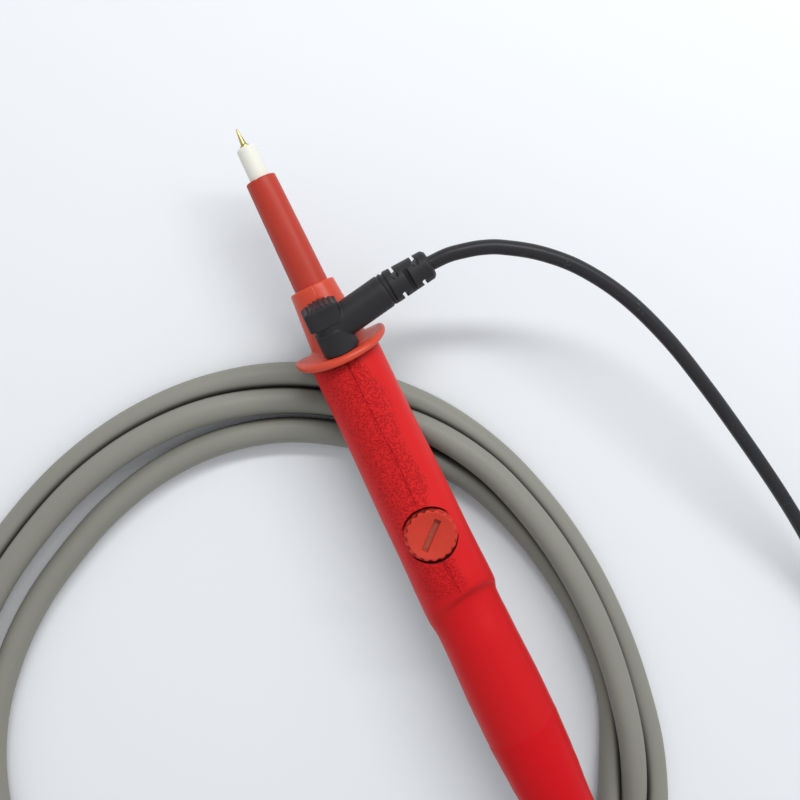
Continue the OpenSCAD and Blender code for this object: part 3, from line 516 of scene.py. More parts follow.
def startMaterial(name, finish):
    # a Principled shader with its constants on its own sockets and the moulded skin behind it
    material = bpy.data.materials.new(name)
    material.use_nodes = True
    tree = material.node_tree
    shader = tree.nodes["Principled BSDF"]
    fixed = {"Colour": (*finish["colour"], 1), "Roughness": finish["roughness"]}
    for key, socketName in (("scale", "Scale"), ("shade", "Shade"), ("spread", "Spread"), ("pits", "Pits")):
        if key in finish:
            fixed[socketName] = finish[key]
    skin = addNode(tree, "ShaderNodeGroup", fixed, node_tree=mouldedSkin)
    relief = {"Strength": finish.get("bump", 0.15), "Distance": finish.get("depth", 0.05) * mm}
    bump = addNode(tree, "ShaderNodeBump", relief)
    connect(tree, (skin, "Colour", shader, "Base Color"), (skin, "Roughness", shader, "Roughness"),
            (skin, "Height", bump, "Height"), (bump, "Normal", shader, "Normal"))
    for socketName, value in finish.get("fixed", {}).items():
        shader.inputs[socketName].default_value = value
    return material, tree, shader, skin, bump


def finished(name, **finish):
    material, tree, shader, skin, bump = startMaterial(name, finish)
    if "dust" in finish:
        dust = addNode(tree, "ShaderNodeGroup", {
            "Dust": (*finish["dust"], 1), "Scale": finish["dustScale"], "Amount": finish["dustAmount"]},
            node_tree=clingingDust)
        connect(tree, (skin, "Colour", dust, "Colour"), (dust, "Colour", shader, "Base Color"))
    return material


rubber = {"Specular IOR Level": 0.1, "Sheen Weight": 0.04, "Sheen Roughness": 0.4}
satin = {"Specular IOR Level": 0.3}
metal = {"Metallic": 1.0}
leather = {
    "colour": (0.67, 0.018, 0.019), "rearColour": (0.60, 0.010, 0.013), "rearFade": (-12.0, 20.0),
    "valley": (0.36, 0.003, 0.006), "roughness": 0.4, "shade": 0.05, "scale": 70, "bump": 0.2,
    "fixed": rubber, "leftFade": (-9.5, -6.5), "rightFade": (-0.8, 1.2), "backFade": (-7.0, -5.0),
    "lowFade": (0.0, 3.0),
    "reach": 80.0,   # the ramp below runs from y 0 at its left to this y at its right
    # place on that ramp, limit of the grain to the right in centimetres
    "limits": [(0.0, 0.31), (0.03, 0.31), (0.22, 0.3), (0.31, 0.55), (0.44, 0.45), (0.62, 0.6), (0.8, 0.3)],
    "grain": {"Scale": 1900.0, "Detail": 1.5, "Distortion": 0.35}, "ridge": (0.37, 0.55),
    "grainDepth": 0.16, "grainTint": 0.55,
}


def makeGripMaterial():
    # red rubber with a leather grain on its top left, fading into smooth skin at both sides
    g = leather
    material, tree, shader, skin, bump = startMaterial("gripRed", g)
    link = tree.links.new
    place = addNode(tree, "ShaderNodeTexCoord")
    apart = addNode(tree, "ShaderNodeSeparateXYZ")
    connect(tree, (place, "Object", apart, 0))

    def ranged(source, low, high, interpolation="SMOOTHSTEP"):
        node = addNode(tree, "ShaderNodeMapRange", {"From Min": low, "From Max": high},
                       interpolation_type=interpolation)
        link(source, node.inputs["Value"])
        return node.outputs["Result"]

    def faded(axis, limits):
        return ranged(apart.outputs[axis], limits[0] * mm, limits[1] * mm)

    def combined(operation, *sources):
        node = addNode(tree, "ShaderNodeMath", operation=operation)
        for i, source in enumerate(sources):
            if isinstance(source, float):
                node.inputs[i].default_value = source
            else:
                link(source, node.inputs[i])
        return node.outputs[0]

    ramp = addNode(tree, "ShaderNodeValToRGB")
    ramp.color_ramp.interpolation = "EASE"
    stops = ramp.color_ramp.elements
    for i, (spot, limit) in enumerate(g["limits"]):
        stop = stops[i] if i < 2 else stops.new(spot)
        stop.position = spot
        stop.color = (limit, limit, limit, 1)
    link(ranged(apart.outputs["Y"], 0.0, g["reach"] * mm, "LINEAR"), ramp.inputs["Fac"])
    toRight = combined("SUBTRACT", combined("MULTIPLY", ramp.outputs["Color"], 0.01), apart.outputs["X"])
    mask = ranged(toRight, g["rightFade"][0] * mm, g["rightFade"][1] * mm)
    for axis, limits in (("X", g["leftFade"]), ("Y", g["backFade"]), ("Z", g["lowFade"])):
        mask = combined("MULTIPLY", mask, faded(axis, limits))
    grain = addNode(tree, "ShaderNodeTexNoise", g["grain"])
    connect(tree, (place, "Object", grain, "Vector"))
    ridge = ranged(grain.outputs["Fac"], *g["ridge"])
    furrow = addNode(tree, "ShaderNodeBump", {"Strength": 1.0, "Distance": g["grainDepth"] * mm})
    link(combined("MULTIPLY", ridge, mask), furrow.inputs["Height"])
    connect(tree, (bump, "Normal", furrow, "Normal"), (furrow, "Normal", shader, "Normal"))
    skinTint = addNode(tree, "ShaderNodeMix", {6: (*g["rearColour"], 1)}, data_type="RGBA")
    mix = addNode(tree, "ShaderNodeMix", {7: (*g["valley"], 1)}, data_type="RGBA")
    valleys = combined("MULTIPLY", mask, combined("SUBTRACT", 1.0, ridge))
    link(faded("Y", g["rearFade"]), skinTint.inputs[0])
    link(combined("MULTIPLY", valleys, g["grainTint"]), mix.inputs[0])
    connect(tree, (skin, "Colour", skinTint, 7), (skinTint, 2, mix, 6), (mix, 2, shader, "Base Color"))
    return material


def makeGold():
    # polished plating whose edges are darkened by a painted reflection of a dark room
    material, tree, shader, skin, bump = startMaterial(
        "contactGold", {"colour": (0.78, 0.60, 0.22), "roughness": 0.25, "shade": 0.05, "fixed": metal})
    facing = addNode(tree, "ShaderNodeLayerWeight", {"Blend": 0.42})
    # painted reflection: the base colour turns dark where the surface turns away from the view
    mix = addNode(tree, "ShaderNodeMix", {7: (0.035, 0.026, 0.008, 1)}, data_type="RGBA")
    connect(tree, (facing, "Facing", mix, 0), (skin, "Colour", mix, 6), (mix, 2, shader, "Base Color"))
    return material


def recoloured(material, group, fixed):
    # puts a group in front of the base colour
    tree = material.node_tree
    base = tree.nodes["Principled BSDF"].inputs["Base Color"]
    effect = addNode(tree, "ShaderNodeGroup", fixed, node_tree=group)
    tree.links.new(base.links[0].from_socket, effect.inputs["Colour"])
    tree.links.new(effect.outputs["Colour"], base)
    return tree, effect


# puts painted crease shade, driven by ambient occlusion, into a material's base colour
def addPaintedCreaseShade(material, colour, distance):
    tree, effect = recoloured(material, paintedCreaseShade, {"Painted Shade": (*colour, 1)})
    hollow = addNode(tree, "ShaderNodeAmbientOcclusion", {"Distance": distance * mm}, samples=8)
    connect(tree, (hollow, "AO", effect, "Openness"))


def addCalmBounce(material, colour, beyond):
    tree, effect = recoloured(material, calmBounce, {"Calm": (*colour, 1), "Beyond": beyond * mm})
    path = addNode(tree, "ShaderNodeLightPath")
    connect(tree, (path, "Is Diffuse Ray", effect, "Bounced"), (path, "Ray Length", effect, "Travelled"))


finishes = {
    "insulatorWhite": dict(colour=(0.80, 0.80, 0.71), roughness=0.45, shade=0.02, scale=300, fixed=satin),
    "noseRed": dict(colour=(0.46, 0.038, 0.02), roughness=0.42, shade=0.06, scale=150, bump=0.25,
                    fixed=satin),
    "guardRed": dict(colour=(0.64, 0.062, 0.026), roughness=0.36, shade=0.06, scale=130, bump=0.3,
                     fixed={"Specular IOR Level": 0.38}),
    # the slot floor's colour is darker and browner than the cap's: painted shade of the recess, over a
    # rougher, more pitted skin
    "slotRed": dict(colour=(0.40, 0.06, 0.03), roughness=0.6, shade=0.3, scale=900, bump=0.8, depth=0.15),
    "tailRed": dict(colour=(0.59, 0.006, 0.010), roughness=0.4, shade=0.05, scale=60, bump=0.2, fixed=rubber),
    "capRed": dict(colour=(0.57, 0.038, 0.019), roughness=0.42, shade=0.12, scale=260, bump=0.3, fixed=satin),
    "plugBlack": dict(colour=(0.020, 0.020, 0.022), roughness=0.5, shade=0.2, scale=300, bump=0.5, depth=0.08,
                      fixed=satin),
    "leadBlack": dict(colour=(0.021, 0.021, 0.024), roughness=0.4, shade=0.12, scale=150, fixed=satin,
                      dust=(0.16, 0.16, 0.17), dustAmount=0.4, dustScale=800.0),
    "cableGrey": dict(colour=(0.258, 0.256, 0.218), roughness=0.5, shade=0.05, scale=40, spread=0.08,
                      pits=2200.0, bump=0.25, fixed=satin, dust=(0.34, 0.34, 0.31), dustAmount=0.35,
                      dustScale=500.0),
    "nickel": dict(colour=(0.62, 0.60, 0.56), roughness=0.28, shade=0.05, fixed=metal),
    "whiteCore": dict(colour=(0.85, 0.85, 0.82), roughness=0.4, shade=0.02),
    "brass": dict(colour=(0.70, 0.50, 0.22), roughness=0.3, shade=0.08, fixed=metal),
    "boardGreen": dict(colour=(0.02, 0.16, 0.06), roughness=0.35, shade=0.15),
    "resistorBlue": dict(colour=(0.1, 0.2, 0.5), roughness=0.35, shade=0.08),
    "partBrown": dict(colour=(0.3, 0.12, 0.04), roughness=0.4, shade=0.1),
    "wireGreen": dict(colour=(0.04, 0.3, 0.08), roughness=0.4, shade=0.05),
}
materials = {name: finished(name, **finish) for name, finish in finishes.items()}
materials["contactGold"] = makeGold()
materials["gripRed"] = makeGripMaterial()
# painted shade in the creases between the cable's turns, and in the grip's creases at its shoulder, cap well
# and guard
addPaintedCreaseShade(materials["cableGrey"], (0.05, 0.045, 0.035), 3)
addPaintedCreaseShade(materials["gripRed"], (0.14, 0.001, 0.002), 6)
for redName in ("noseRed", "guardRed", "capRed", "gripRed", "tailRed"):
    addCalmBounce(materials[redName], (0.38, 0.33, 0.33), 6)
print("materials made")


def dress(piece, material):
    piece.data.materials.clear()
    piece.data.materials.append(materials[material])
    return piece


def settle(piece, slot, *nodes, body="probe"):
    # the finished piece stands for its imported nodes, on the body that carries it
    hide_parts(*nodes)
    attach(piece, body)


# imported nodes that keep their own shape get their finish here
keptNodes = {
    "contactGold": ["bnc_pin"],
    "nickel": ["contact_spring", "resistor_front_cap", "resistor_rear_cap", "cable_ferrule", "bnc_ferrule",
               "bnc_body", "bnc_coupling_ring", "clip_lower_jaw", "clip_upper_jaw", "clip_pivot",
               "clip_spring"],
    "brass": ["ground_socket", "trimmer_rotor", "ground_plug_pin", "ground_plug_spring"],
    "resistorBlue": ["divider_resistor", "trimmer_body"],
    "tailRed": ["bend_relief", "signal_wire", "rear_body"],
    "wireGreen": ["ground_wire"],
    "boardGreen": ["circuit_board"],
    "partBrown": ["low_side_resistor", "low_side_capacitor"],
    "whiteCore": ["cable_core", "bnc_insulator", "bnc_gasket"],
    "plugBlack": ["cap_o_ring", "bnc_boot", "clip_lower_sleeve", "clip_upper_sleeve"],
}


def dressKeptNodes():
    for material, names in keptNodes.items():
        for name in names:
            dress(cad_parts[name], material)


dressKeptNodes()


# Needle, insulator and nose tube

nose = {
    "needle": [(0, 130), (0.13, 129.97), (0.24, 129.86), (0.3, 129.66), (0.32, 129.4), (0.78, 125.95),
               (0.84, 125.65), (0.98, 125.4), (1.24, 125.28), (1.33, 125.22), (1.36, 125.12), (1.36, 124.95),
               (1.0, 124.95), (1.0, 107.5), (0, 107.5)],
    "insulatorRadius": 2.73, "insulatorFrontRadius": 2.62, "insulatorFront": 124.9, "insulatorRound": 0.9,
    "stemRadius": 2.3, "stemEnd": 108.0, "shankHole": 1.05, "gap": 0.05, "fullFrom": 3.0,
    "stemBoreDepth": 7.6,
    # y, radius of the tube
    "tube": [(76.15, 4.77), (83.1, 4.77), (90, 4.66), (96, 4.58), (102, 4.45), (108, 4.36), (115.55, 4.2)],
    "tubeEdge": 0.5, "tubeBore": 2.55, "tubeRows": (112, 76, -4), "sides": 160,
    "nick": (-0.9, 0.35, 0.3),   # its x, half width and depth on the front edge
}


def makeNose():
    n = nose
    needle = dress(lathe("contactNeedle", n["needle"], 64), "contactGold")
    edge, front, tubeFront = n["insulatorRound"], n["insulatorFront"], n["tube"][-1][0]
    frontR, backR, seat = n["insulatorFrontRadius"], n["insulatorRadius"], tubeFront + n["gap"]
    profile = [(n["shankHole"], front), (frontR - edge, front)]
    profile += roundCorner((frontR - edge, front - edge), edge, 90, 0)
    profile += [(backR, tubeFront + n["fullFrom"]), (backR, seat), (n["stemRadius"], seat),
                (n["stemRadius"], n["stemEnd"]), (n["shankHole"], n["stemEnd"])]
    insulator = dress(lathe("tipInsulator", profile, 80, closed=True), "insulatorWhite")
    edge, stem, boreEnd = n["tubeEdge"], n["stemRadius"] + n["gap"], tubeFront - n["stemBoreDepth"]
    (backY, backRadius), rim = n["tube"][0], n["tube"][-1][1]
    profile = [(stem, boreEnd), (stem, tubeFront)] + roundCorner((rim - edge, tubeFront - edge), edge, 90, 5)
    profile += [(smoothThrough(n["tube"], y), y) for y in range(*n["tubeRows"])]
    profile += [(backRadius, backY), (n["tubeBore"], backY), (n["tubeBore"], boreEnd)]
    nickX, nickWidth, nickDepth = n["nick"]
    rings = []
    for r, y in profile:
        onFront = r > stem + edge and y > tubeFront - 2 * edge
        ring = []
        for a in topDense(n["sides"]):
            x, z = r * math.cos(a), r * math.sin(a)
            near = math.exp(-((x - nickX) / nickWidth) ** 2) if onFront and z > 0 else 0.0
            ring.append((x, y - nickDepth * near, z))
        rings.append(ring)
    tube = dress(shell("noseTube", rings, closed=True), "noseRed")
    settle(sharpen(needle), "needle_gold", "contact_needle")
    settle(sharpen(insulator), "white_insulation", "tip_insulator")
    settle(sharpen(tube), "nose_red", "nose_tube")


makeNose()
print("nose made")


# Front guard: barrel, swept finger guard and spigot in one moulding

guard = {
    "frontY": 83.9, "frontRadius": 6.3, "edge": 0.45, "y": 66.1, "barrelRadius": 7.7, "inset": 0.1,
    "coneRows": 14, "radius": 13.1, "thickness": 2.3, "sweep": 16.0, "fillet": 1.2,
    "dips": [(9.5, 0.22), (10.2, 0.4), (11.1, 0.34)],   # radius, depth of the finger guard's hollow front
    "backRadius": 10.4,
    "sweepEnds": 4.0, "sweepShare": 0.3,   # so far behind the guard, so much of its sweep is left
    "noseBore": 4.82, "noseSeat": 76.1, "passage": 2.4, "passageEnd": 66.7, "spigotEnd": 51.1,
    "spigotBore": 3.0, "seamX": 0.15, "seamDepth": 0.09, "seamWidth": 0.13, "seamRadii": (5.32, 9.0),
    "seamFrom": 67.1, "seamNotch": 2.2, "sides": 220,
}
socket = {
    "height": 7.5, "pocketRadius": 5.1, "pocketFloor": -4.75, "pocketFrom": 1.15, "roomTop": 7, "reach": 27,
    "headRoom": (-6.1, 5.1, 9.3), "armRoom": (0, 12, 2.9),   # from and to along x, and where each starts
    "bore": (2.55, -16, 3),   # radius, and where it starts and ends
}
socketFrame = shift(0, guard["y"], 0) @ turn(guard["sweep"], "X") @ shift(0, 0, socket["height"])


def sweptBack(z):
    # the upper half of the guard leans back, the lower half doesn't
    return -math.tan(math.radians(guard["sweep"])) * (math.sqrt(z * z + 1) + z - 1) / 2


def guardProfile():
    # radius, y and how far each ring follows the swept disc
    g = guard
    rim, front, y, edge, fillet = g["thickness"] / 2, g["frontY"], g["y"], g["edge"], g["fillet"]
    noseBore, barrel, wall = g["noseBore"], g["barrelRadius"], g["frontRadius"]
    waist, foot = barrel - g["inset"], y + rim + fillet
    rows = [(g["passage"], g["passageEnd"], 0), (g["passage"], g["noseSeat"], 0),
            (noseBore, g["noseSeat"], 0), (noseBore, front, 0)]
    rows += [(r, h, 0) for r, h in roundCorner((wall - edge, front - edge), edge, 90, 5)]
    for i in range(1, g["coneRows"] + 1):
        t = i / g["coneRows"]
        rows.append((wall + (waist - wall) * t, front - edge + (foot - front + edge) * t, t ** 3))
    rows += [(r, h, 1) for r, h in roundCorner((waist + fillet, foot), fillet, 180, 270, 5)[1:]]
    rows += [(r, y + rim - dip, 1) for r, dip in g["dips"]]
    rows += [(r, h, 1) for r, h in roundCorner((g["radius"] - rim, y), rim, 90, -90, 12)]
    rows += [(g["backRadius"], y - rim, 1), (barrel, y - rim, 1),
             (barrel, y - rim - g["sweepEnds"], g["sweepShare"]),
             (barrel, g["spigotEnd"], 0), (g["spigotBore"], g["spigotEnd"], 0)]
    return rows


def room(name, x0, x1, start):
    s = socket
    return prism(name, rectangle(x0, x1, s["pocketFloor"], s["roomTop"]), start, s["reach"])


def makeGuard():
    g, s = guard, socket
    least, most = g["seamRadii"]
    rings = []
    for r, y, sweep in guardProfile():
        seam = g["seamDepth"] * (g["seamNotch"] if y > g["frontY"] - g["edge"] else 1)
        onBarrel = least < r < most and y > g["seamFrom"]
        ring = []
        for a in topDense(g["sides"]):
            off = (r * math.cos(a) - g["seamX"]) / g["seamWidth"]
            here = r - seam * math.exp(-off ** 2) if onBarrel and math.sin(a) > 0 else r
            z = here * math.sin(a)
            ring.append((here * math.cos(a), y + sweep * sweptBack(z), z))
        rings.append(ring)
    piece = shell("frontGuard", rings)
    boreRadius, boreStart, boreEnd = s["bore"]
    for tool in (lathe("pocket", [(s["pocketRadius"], s["pocketFrom"]), (s["pocketRadius"], s["reach"])], 96),
                 room("headRoom", *s["headRoom"]), room("armRoom", *s["armRoom"]),
                 lathe("bore", [(boreRadius, boreStart), (boreRadius, boreEnd)], 64)):
        cut(piece, moved(tool, socketFrame))
    settle(dress(sharpen(piece, 40), "guardRed"), "guard_red", "front_guard")


makeGuard()
print("guard made")


# Grip: one rubber moulding from the guard to the tail

grip = {
    "frontY": 64.8, "backY": -50.0, "backSkew": 1.3, "skewFrom": (-34.0, -48.0), "frontRound": 0.6,
    "sweepRadius": 9.7, "sweepFades": 28.0,   # the front follows the finger guard's sweep for this far
    # y, radius in front of the shoulder
    "front": [(-12, 10.75), (-8, 10.75), (-5, 10.73), (1, 10.55), (10, 10.4), (16, 10.38), (28, 10.2),
              (37, 10.0), (49, 9.87), (61, 9.8), (66, 9.75)],
    # y, radius behind the shoulder
    "back": [(-50, 10.62), (-47, 10.66), (-41, 10.66), (-37, 10.62), (-33, 10.5), (-29, 10.36), (-25, 10.22),
             (-19, 10.1), (-15, 9.95), (0, 9.9)],
    "shoulderY": -11.35, "shoulderSkew": 1.55, "shoulderRake": 4.3,
    "edgeFades": ((6.0, -4.0), (-34.0, -20.0)),
    "topExtra": 1.5, "topExtraFades": (3.0, 17.0), "leftRun": 1.3,
    # distance behind the shoulder's edge, share of its drop
    "shoulder": [(-0.9, 0), (-0.3, 0.03), (0.3, 0.15), (1.6, 0.7), (2.3, 0.91), (3.1, 0.98), (4.5, 1.0)],
    "lip": 0.5, "lipFades": (-9.0, -0.5),   # how far the top stands up just in front of that edge
    "bore": 7.8, "boreFront": 50.0, "rearBore": 8.15, "rearBoreY": -1.0, "tuck": (0.985, 0.06),
    "sides": 264, "pitch": 0.45, "finePitch": 0.2, "fineFrom": -7.5, "fineTo": -16.5,
    # y, x of the mould seam on top
    "seam": [(-6.8, 0.08), (0.1, 0.06), (2.9, -0.27), (19.5, -0.49), (33, -0.06), (38, -0.28), (59, -0.65),
             (66, -0.65)],
    "seamArc": 0.5,   # sine of the angle above which the seam is drawn
    "seamRise": 0.15, "seamWidth": 0.2, "grooveDepth": 0.22, "grooveSide": 0.24, "seamFades": (-8.0, -6.0),
    "flash": 0.3, "flashFades": ((3.4, 2.6), (-2.0, 0.5)),
    "wellRadius": 7.7, "wellAt": (-0.1, 10.75), "wellFloor": 8.2, "stemHole": 5.75, "moatFloor": 7.87,
    "moatRadius": 6.4, "wellInside": 4.0, "wellOutside": 14.0,
}


def gripRows():
    # places of the sections, closer together at the shoulder
    g = grip
    y = g["frontY"]
    while y > g["backY"]:
        yield y
        y -= g["finePitch"] if g["fineTo"] < y < g["fineFrom"] else g["pitch"]
    yield g["backY"]


def gripRadius(a, y, nearShoulder):
    g = grip
    before, after = smoothThrough(g["front"], y), smoothThrough(g["back"], y)
    upward = max(math.sin(a), 0.0)
    run = 1 + g["leftRun"] * max(-math.cos(a), 0.0) ** 2
    drop = smoothThrough(g["shoulder"], nearShoulder / run)
    back = after - g["topExtra"] * upward * (1 - smoothStep(*g["topExtraFades"], nearShoulder))
    before += g["lip"] * upward * smoothStep(*g["lipFades"], nearShoulder)
    return before + (back - before) * drop


def seamHeight(x, y):
    g = grip
    off = x - smoothThrough(g["seam"], y)
    flashFront, flashBack = g["flashFades"]
    flash = g["flash"] * smoothStep(*flashFront, y) * smoothStep(*flashBack, y)
    ridge = (g["seamRise"] + flash) * math.exp(-(off / g["seamWidth"]) ** 2)
    groove = g["grooveDepth"] * math.exp(-((off - g["grooveSide"]) / g["seamWidth"]) ** 2)
    return (ridge - groove) * smoothStep(*g["seamFades"], y)


def gripRing(base, turns):
    g = grip
    fromFront, corner = g["frontY"] - base, g["frontRound"]
    sweep = 1 - smoothStep(0.0, g["sweepFades"], fromFront)
    edgeFront, edgeBack = g["edgeFades"]
    skew = smoothStep(*edgeFront, base) * smoothStep(*edgeBack, base)
    slant = g["backSkew"] * smoothStep(*g["skewFrom"], base)
    lip = math.sqrt(max(corner ** 2 - (corner - fromFront) ** 2, 0.0)) - corner if fromFront < corner else 0.0
    ring = []
    for a in turns:
        edge = g["shoulderSkew"] * math.cos(a) + g["shoulderRake"] * max(math.sin(a), 0.0)
        y = base + sweptBack(g["sweepRadius"] * math.sin(a)) * sweep + edge * skew + slant * math.cos(a)
        r = gripRadius(a, y, g["shoulderY"] + edge - y)
        if math.sin(a) > g["seamArc"]:
            r += seamHeight(r * math.cos(a), y)
        ring.append(((r + lip) * math.cos(a), y, (r + lip) * math.sin(a)))
    return ring


def makeGrip():
    g = grip
    turns = topDense(g["sides"])
    rings = [gripRing(base, turns) for base in gripRows()]
    front, rear = rings[0], rings[-1]
    narrow, back = g["tuck"]
    rings.append([(narrow * x, y - back, narrow * z) for x, y, z in rear])
    rings.append(circle(g["rearBore"], turns, [y - back for x, y, z in rear]))
    for r, y in ((g["rearBore"], g["rearBoreY"]), (g["bore"], g["rearBoreY"]), (g["bore"], g["boreFront"])):
        rings.append(circle(r, turns, [y] * g["sides"]))
    rings.append(circle(g["bore"], turns, [y for x, y, z in front]))
    piece = shell("handleGrip", rings, closed=True)
    stem, moat, well = g["stemHole"], g["moatRadius"], g["wellRadius"]
    floor, ledge = -g["wellFloor"], -g["moatFloor"]
    tool = lathe("well", [(stem, -g["wellInside"]), (stem, floor), (moat, floor), (moat, ledge),
                          (well, ledge), (well, -g["wellOutside"])], 128)
    cut(piece, moved(tool, turn(-90, "X"), shift(*g["wellAt"], 0)))
    settle(dress(sharpen(piece, 40), "gripRed"), "grip_red", "handle_grip")


makeGrip()
print("grip made")


# Tail sleeve, tapering back from a thin lip at its seam with the grip

tail = {
    "lip": (-49.85, 1.3),   # its middle and how far it slants from one side to the other
    "slantEnds": -60.0, "seat": 8.15,
    "front": [(10.45, 0), (10.62, 0.06), (10.7, 0.3)],   # radius, distance behind the lip
    # y, radius
    "outline": [(-90, 8.7), (-77, 9.26), (-75, 9.3), (-73, 9.42), (-71, 9.52), (-69, 9.72), (-67, 9.88),
                (-65, 10.06), (-63, 10.12), (-61, 10.23), (-59, 10.36), (-57, 10.42), (-55, 10.5),
                (-53, 10.6), (-51, 10.7)],
    "rows": 27, "pitch": 1.5, "backRadius": 8.4, "backY": -106.0, "backRound": 2.4,
    # radius, y of the inside from the back forward
    "inside": [(5.2, -106.0), (5.2, -103.0), (4.05, -103.0), (4.05, -96.0), (6.4, -88.0), (7.2, -74.0),
               (7.2, -65.95), (8.15, -65.95)],
    "sides": 240,
}


def makeTail():
    t = tail
    middle, slant = t["lip"]
    edge = t["backRound"]
    outsideFrom = t["outline"][-1][0]
    profile = [(t["seat"], middle)] + [(r, middle - behind) for r, behind in t["front"]]
    for row in range(t["rows"]):
        y = outsideFrom - t["pitch"] * row
        profile.append((smoothThrough(t["outline"], y), y))
    profile += roundCorner((t["backRadius"] - edge, t["backY"] + edge), edge, 8, -84, 8) + t["inside"]
    turns = [math.tau * k / t["sides"] for k in range(t["sides"])]
    rings = []
    for r, y in profile:
        lean = slant * smoothStep(t["slantEnds"], middle, y)
        rings.append(circle(r, turns, [y + lean * math.cos(a) for a in turns]))
    settle(dress(sharpen(shell("tailSleeve", rings, closed=True), 40), "tailRed"), "grip_red", "tail_cap")


makeTail()
print("tail made")


# Access cap: a full flange under a scalloped crown, with a coin slot

cap = {
    "centre": (0, 10.5), "voxel": 0.09,
    "scallops": 18, "notchRadius": 0.8, "notchOut": 7.15, "notchFloor": 8.36, "notchHeight": 4,
    "firstNotch": 3.0,
    # radius, height
    "outline": [(3.9, 6.8), (3.9, 5.45), (5.4, 5.45), (5.4, 6.4), (4.4, 6.4), (4.4, 7.5), (5.4, 7.5),
                (5.4, 8.27), (6.5, 8.27), (6.5, 7.95), (7.15, 7.95), (7.2, 8.02), (7.2, 8.3), (7.05, 8.36),
                (7.0, 8.6), (6.98, 9.4), (6.85, 9.8), (6.55, 10.03), (6.2, 10.06), (5.8, 9.98), (5.1, 9.83),
                (4.0, 9.65), (2.6, 9.53), (1.0, 9.5)],
    "slotLength": 9.1, "slotWidth": 1.75, "slotFloor": 8.45, "slotTop": 12, "slotAngle": 41.0,
    "slotPaint": 0.35, "slotMargin": 0.2,   # its finish reaches so far up its walls and past its ends
}


def makeCap():
    c = cap
    upright = turn(90, "X")
    piece = moved(lathe("accessCap", c["outline"], 180), upright)
    rods = rodRow("notches", c["scallops"], c["notchOut"], c["firstNotch"], 360 / c["scallops"],
                  c["notchRadius"], c["notchHeight"])
    cut(piece, moved(rods, shift(0, 0, c["notchFloor"] + c["notchHeight"] / 2)))
    half, width = c["slotLength"] / 2, c["slotWidth"] / 2
    slotTool = prism("coinSlot", rectangle(-half, half, -width, width), c["slotFloor"], c["slotTop"], "Z")
    cut(piece, moved(slotTool, turn(c["slotAngle"], "Z")))
    softened(piece, c["voxel"], 2)
    moved(piece, shift(*c["centre"], 0))
    # the slot's floor takes the slotRed finish, whose darker colour is painted shade of the recess
    dress(piece, "capRed").data.materials.append(materials["slotRed"])
    middle = Vector(c["centre"])
    for face in piece.data.polygons:
        place = face.center / mm
        onFloor = face.normal.z > 0.5 and place.z < c["slotFloor"] + c["slotPaint"]
        if onFloor and (place.xy - middle).length < half + c["slotMargin"]:
            face.material_index = 1
    settle(piece, "guard_red", "trimmer_cap", body="access_cap")


makeCap()
print("cap made")


# Ground plug: one moulding with collar, head, thumb rest, arm and slotted relief

plug = {
    "collar": [(0, 1.2), (4.75, 1.2), (4.92, 1.28), (5.0, 1.5), (5.0, 7.55), (4.85, 7.8), (4.5, 7.9),
               (4.5, 9.7), (0, 9.7)],
    "head": (-5.6, 4.2, -4.4, 4.7, 1.9), "headY": (9.5, 14.6),
    "thumbRadius": 11.0, "thumbRise": 0.95, "thumbHalf": 4.6, "thumbDepth": 1, "thumbZ": (-3.9, 4.1),
    "grooves": (7, 67.5, 7.5, 0.4), "grooveLength": 12,   # count, first angle, step, radius
    "armY": 7.7, "armTurn": 10.0,
    # radius, distance along the arm
    "arm": [(0, 0), (4.65, 0), (4.65, 16.85), (4.35, 17.0), (4.35, 17.5), (4.62, 17.62), (4.62, 18.05),
            (4.15, 18.2), (4.15, 18.75), (0, 18.8)],
    "reliefAt": 17.9, "reliefTurn": -4.0,
    "relief": [(0, 0.75), (4.6, 0.75), (4.6, 1.2), (4.25, 8), (4.1, 12.0), (3.9, 12.35), (3.3, 12.9),
               (0, 12.9)],
    "sideSlots": (3.2, 9.3), "sideSlotWidth": 0.8, "sideSlotIn": 2.9, "slotHole": 0.85,
    "topSlot": 6.1, "topSlotWidth": 1.3, "topSlotIn": 2.9, "toolReach": 8, "voxel": 0.14,
}


def makeThumb():
    # the curved, grooved rest on the head
    p = plug
    x0, x1 = p["head"][:2]
    middle, top, radius, half = (x0 + x1) / 2, p["headY"][1], p["thumbRadius"], p["thumbHalf"]
    front = top + p["thumbRise"] - radius
    reach = math.degrees(math.acos(half / radius))
    outline = [(middle + x, y) for x, y in roundCorner((0, front), radius, reach, 180 - reach, 24)]
    outline += [(middle - half, top - p["thumbDepth"]), (middle + half, top - p["thumbDepth"])]
    thumb = prism("thumb", outline, *p["thumbZ"], "Z")
    count, first, step, grooveRadius = p["grooves"]
    rods = rodRow("grooves", count, radius, first, step, grooveRadius, p["grooveLength"])
    return cut(thumb, moved(rods, shift(middle, front, 0)))


def makeRelief():
    # strain relief with round-ended slots at both sides and one window above and below
    p = plug
    relief = moved(lathe("relief", p["relief"], 96), turn(-90, "Z"))
    far = p["toolReach"]
    for x in p["sideSlots"]:
        for side in (-1, 1):
            half, inner = p["sideSlotWidth"] / 2, side * p["sideSlotIn"]
            cut(relief, prism("slot", rectangle(x - half, x + half, inner, side * far), -far, far, "Z"))
            hole = roundCorner((x, inner), p["slotHole"], 0, 345, 23)
            cut(relief, prism("hole", hole, -far, far, "Z"))
    x, half = p["topSlot"], p["topSlotWidth"] / 2
    for low, high in ((p["topSlotIn"], far), (-far, -p["topSlotIn"])):
        cut(relief, prism("window", rectangle(x - half, x + half, -far, far), low, high, "Z"))
    return relief


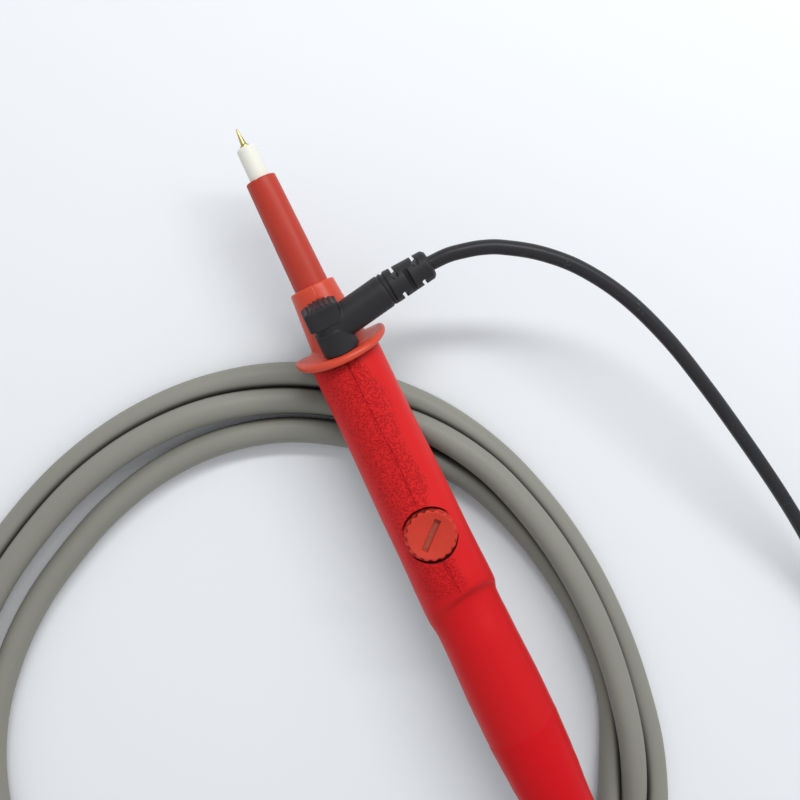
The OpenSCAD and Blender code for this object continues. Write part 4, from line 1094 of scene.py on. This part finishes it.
def makePlug():
    p = plug
    collar = lathe("collar", p["collar"], 96)
    head = prism("head", roundedBox(*p["head"]), *p["headY"])
    armFrame = shift(0, p["armY"], 0) @ turn(p["armTurn"], "Z")
    reliefFrame = armFrame @ shift(p["reliefAt"], 0, 0) @ turn(p["reliefTurn"], "Z")
    arm = moved(lathe("arm", p["arm"], 96), turn(-90, "Z"), armFrame)
    parts = [collar, head, makeThumb(), arm, moved(makeRelief(), reliefFrame)]
    piece = softened(joined("groundPlug", parts), p["voxel"], 4)
    settle(dress(moved(piece, socketFrame), "plugBlack"), "plug_black", "ground_plug_body")
    return piece


plugPiece = makePlug()
print("plug made")


def finishCords():
    settle(dress(cable, "cableGrey"), "cable_grey", "probe_cable", "probe_cable_coil", "probe_cable_end")
    settle(dress(lead, "leadBlack"), "lead_black", "ground_lead", "ground_lead_coil", "ground_lead_end")


finishCords()
print("cords dressed")


# Floor and light

studio = {
    "floorSize": 4000.0, "floor": (0.86, 0.88, 0.90),
    "along": (0.903, -0.429, 0),   # both lamps lie along the picture's width
    "key": {"at": (462, 390, 630), "size": (900.0, 110.0), "watts": 4.7},
    "side": {"at": (1700, -200, 1000), "size": (900.0, 900.0), "watts": 2.0},
    "world": (0.95, 0.96, 1.0), "worldStrength": 0.60,
}


def makeStudio():
    half = studio["floorSize"] / 2
    corners = [(x, y, tableZ) for x, y in rectangle(-half, half, -half, half)]
    floor = meshFrom("floor", corners, [(0, 1, 2, 3)])
    floor.data.materials.append(finished("paleFloor", colour=studio["floor"], roughness=0.7, shade=0.0,
                                         bump=0.0))
    for name in ("key", "side"):
        lamp = studio[name]
        light = bpy.data.lights.new(name, "AREA")
        light.shape = "RECTANGLE"
        light.size, light.size_y = (side * mm for side in lamp["size"])
        light.energy = lamp["watts"]
        holder = bpy.data.objects.new(name, light)
        along, place = Vector(studio["along"]).normalized(), metres(lamp["at"])
        away = (place - along * place.dot(along)).normalized()
        turned = Matrix((along, away.cross(along), away)).transposed().to_4x4()
        holder.matrix_world = Matrix.Translation(place) @ turned
        scene.collection.objects.link(holder)
    world = bpy.data.worlds.new("studio")
    world.use_nodes = True
    back = world.node_tree.nodes["Background"]
    back.inputs["Color"].default_value = (*studio["world"], 1)
    back.inputs["Strength"].default_value = studio["worldStrength"]
    scene.world = world
    scene.view_settings.view_transform = "Standard"


makeStudio()
print("studio lit")
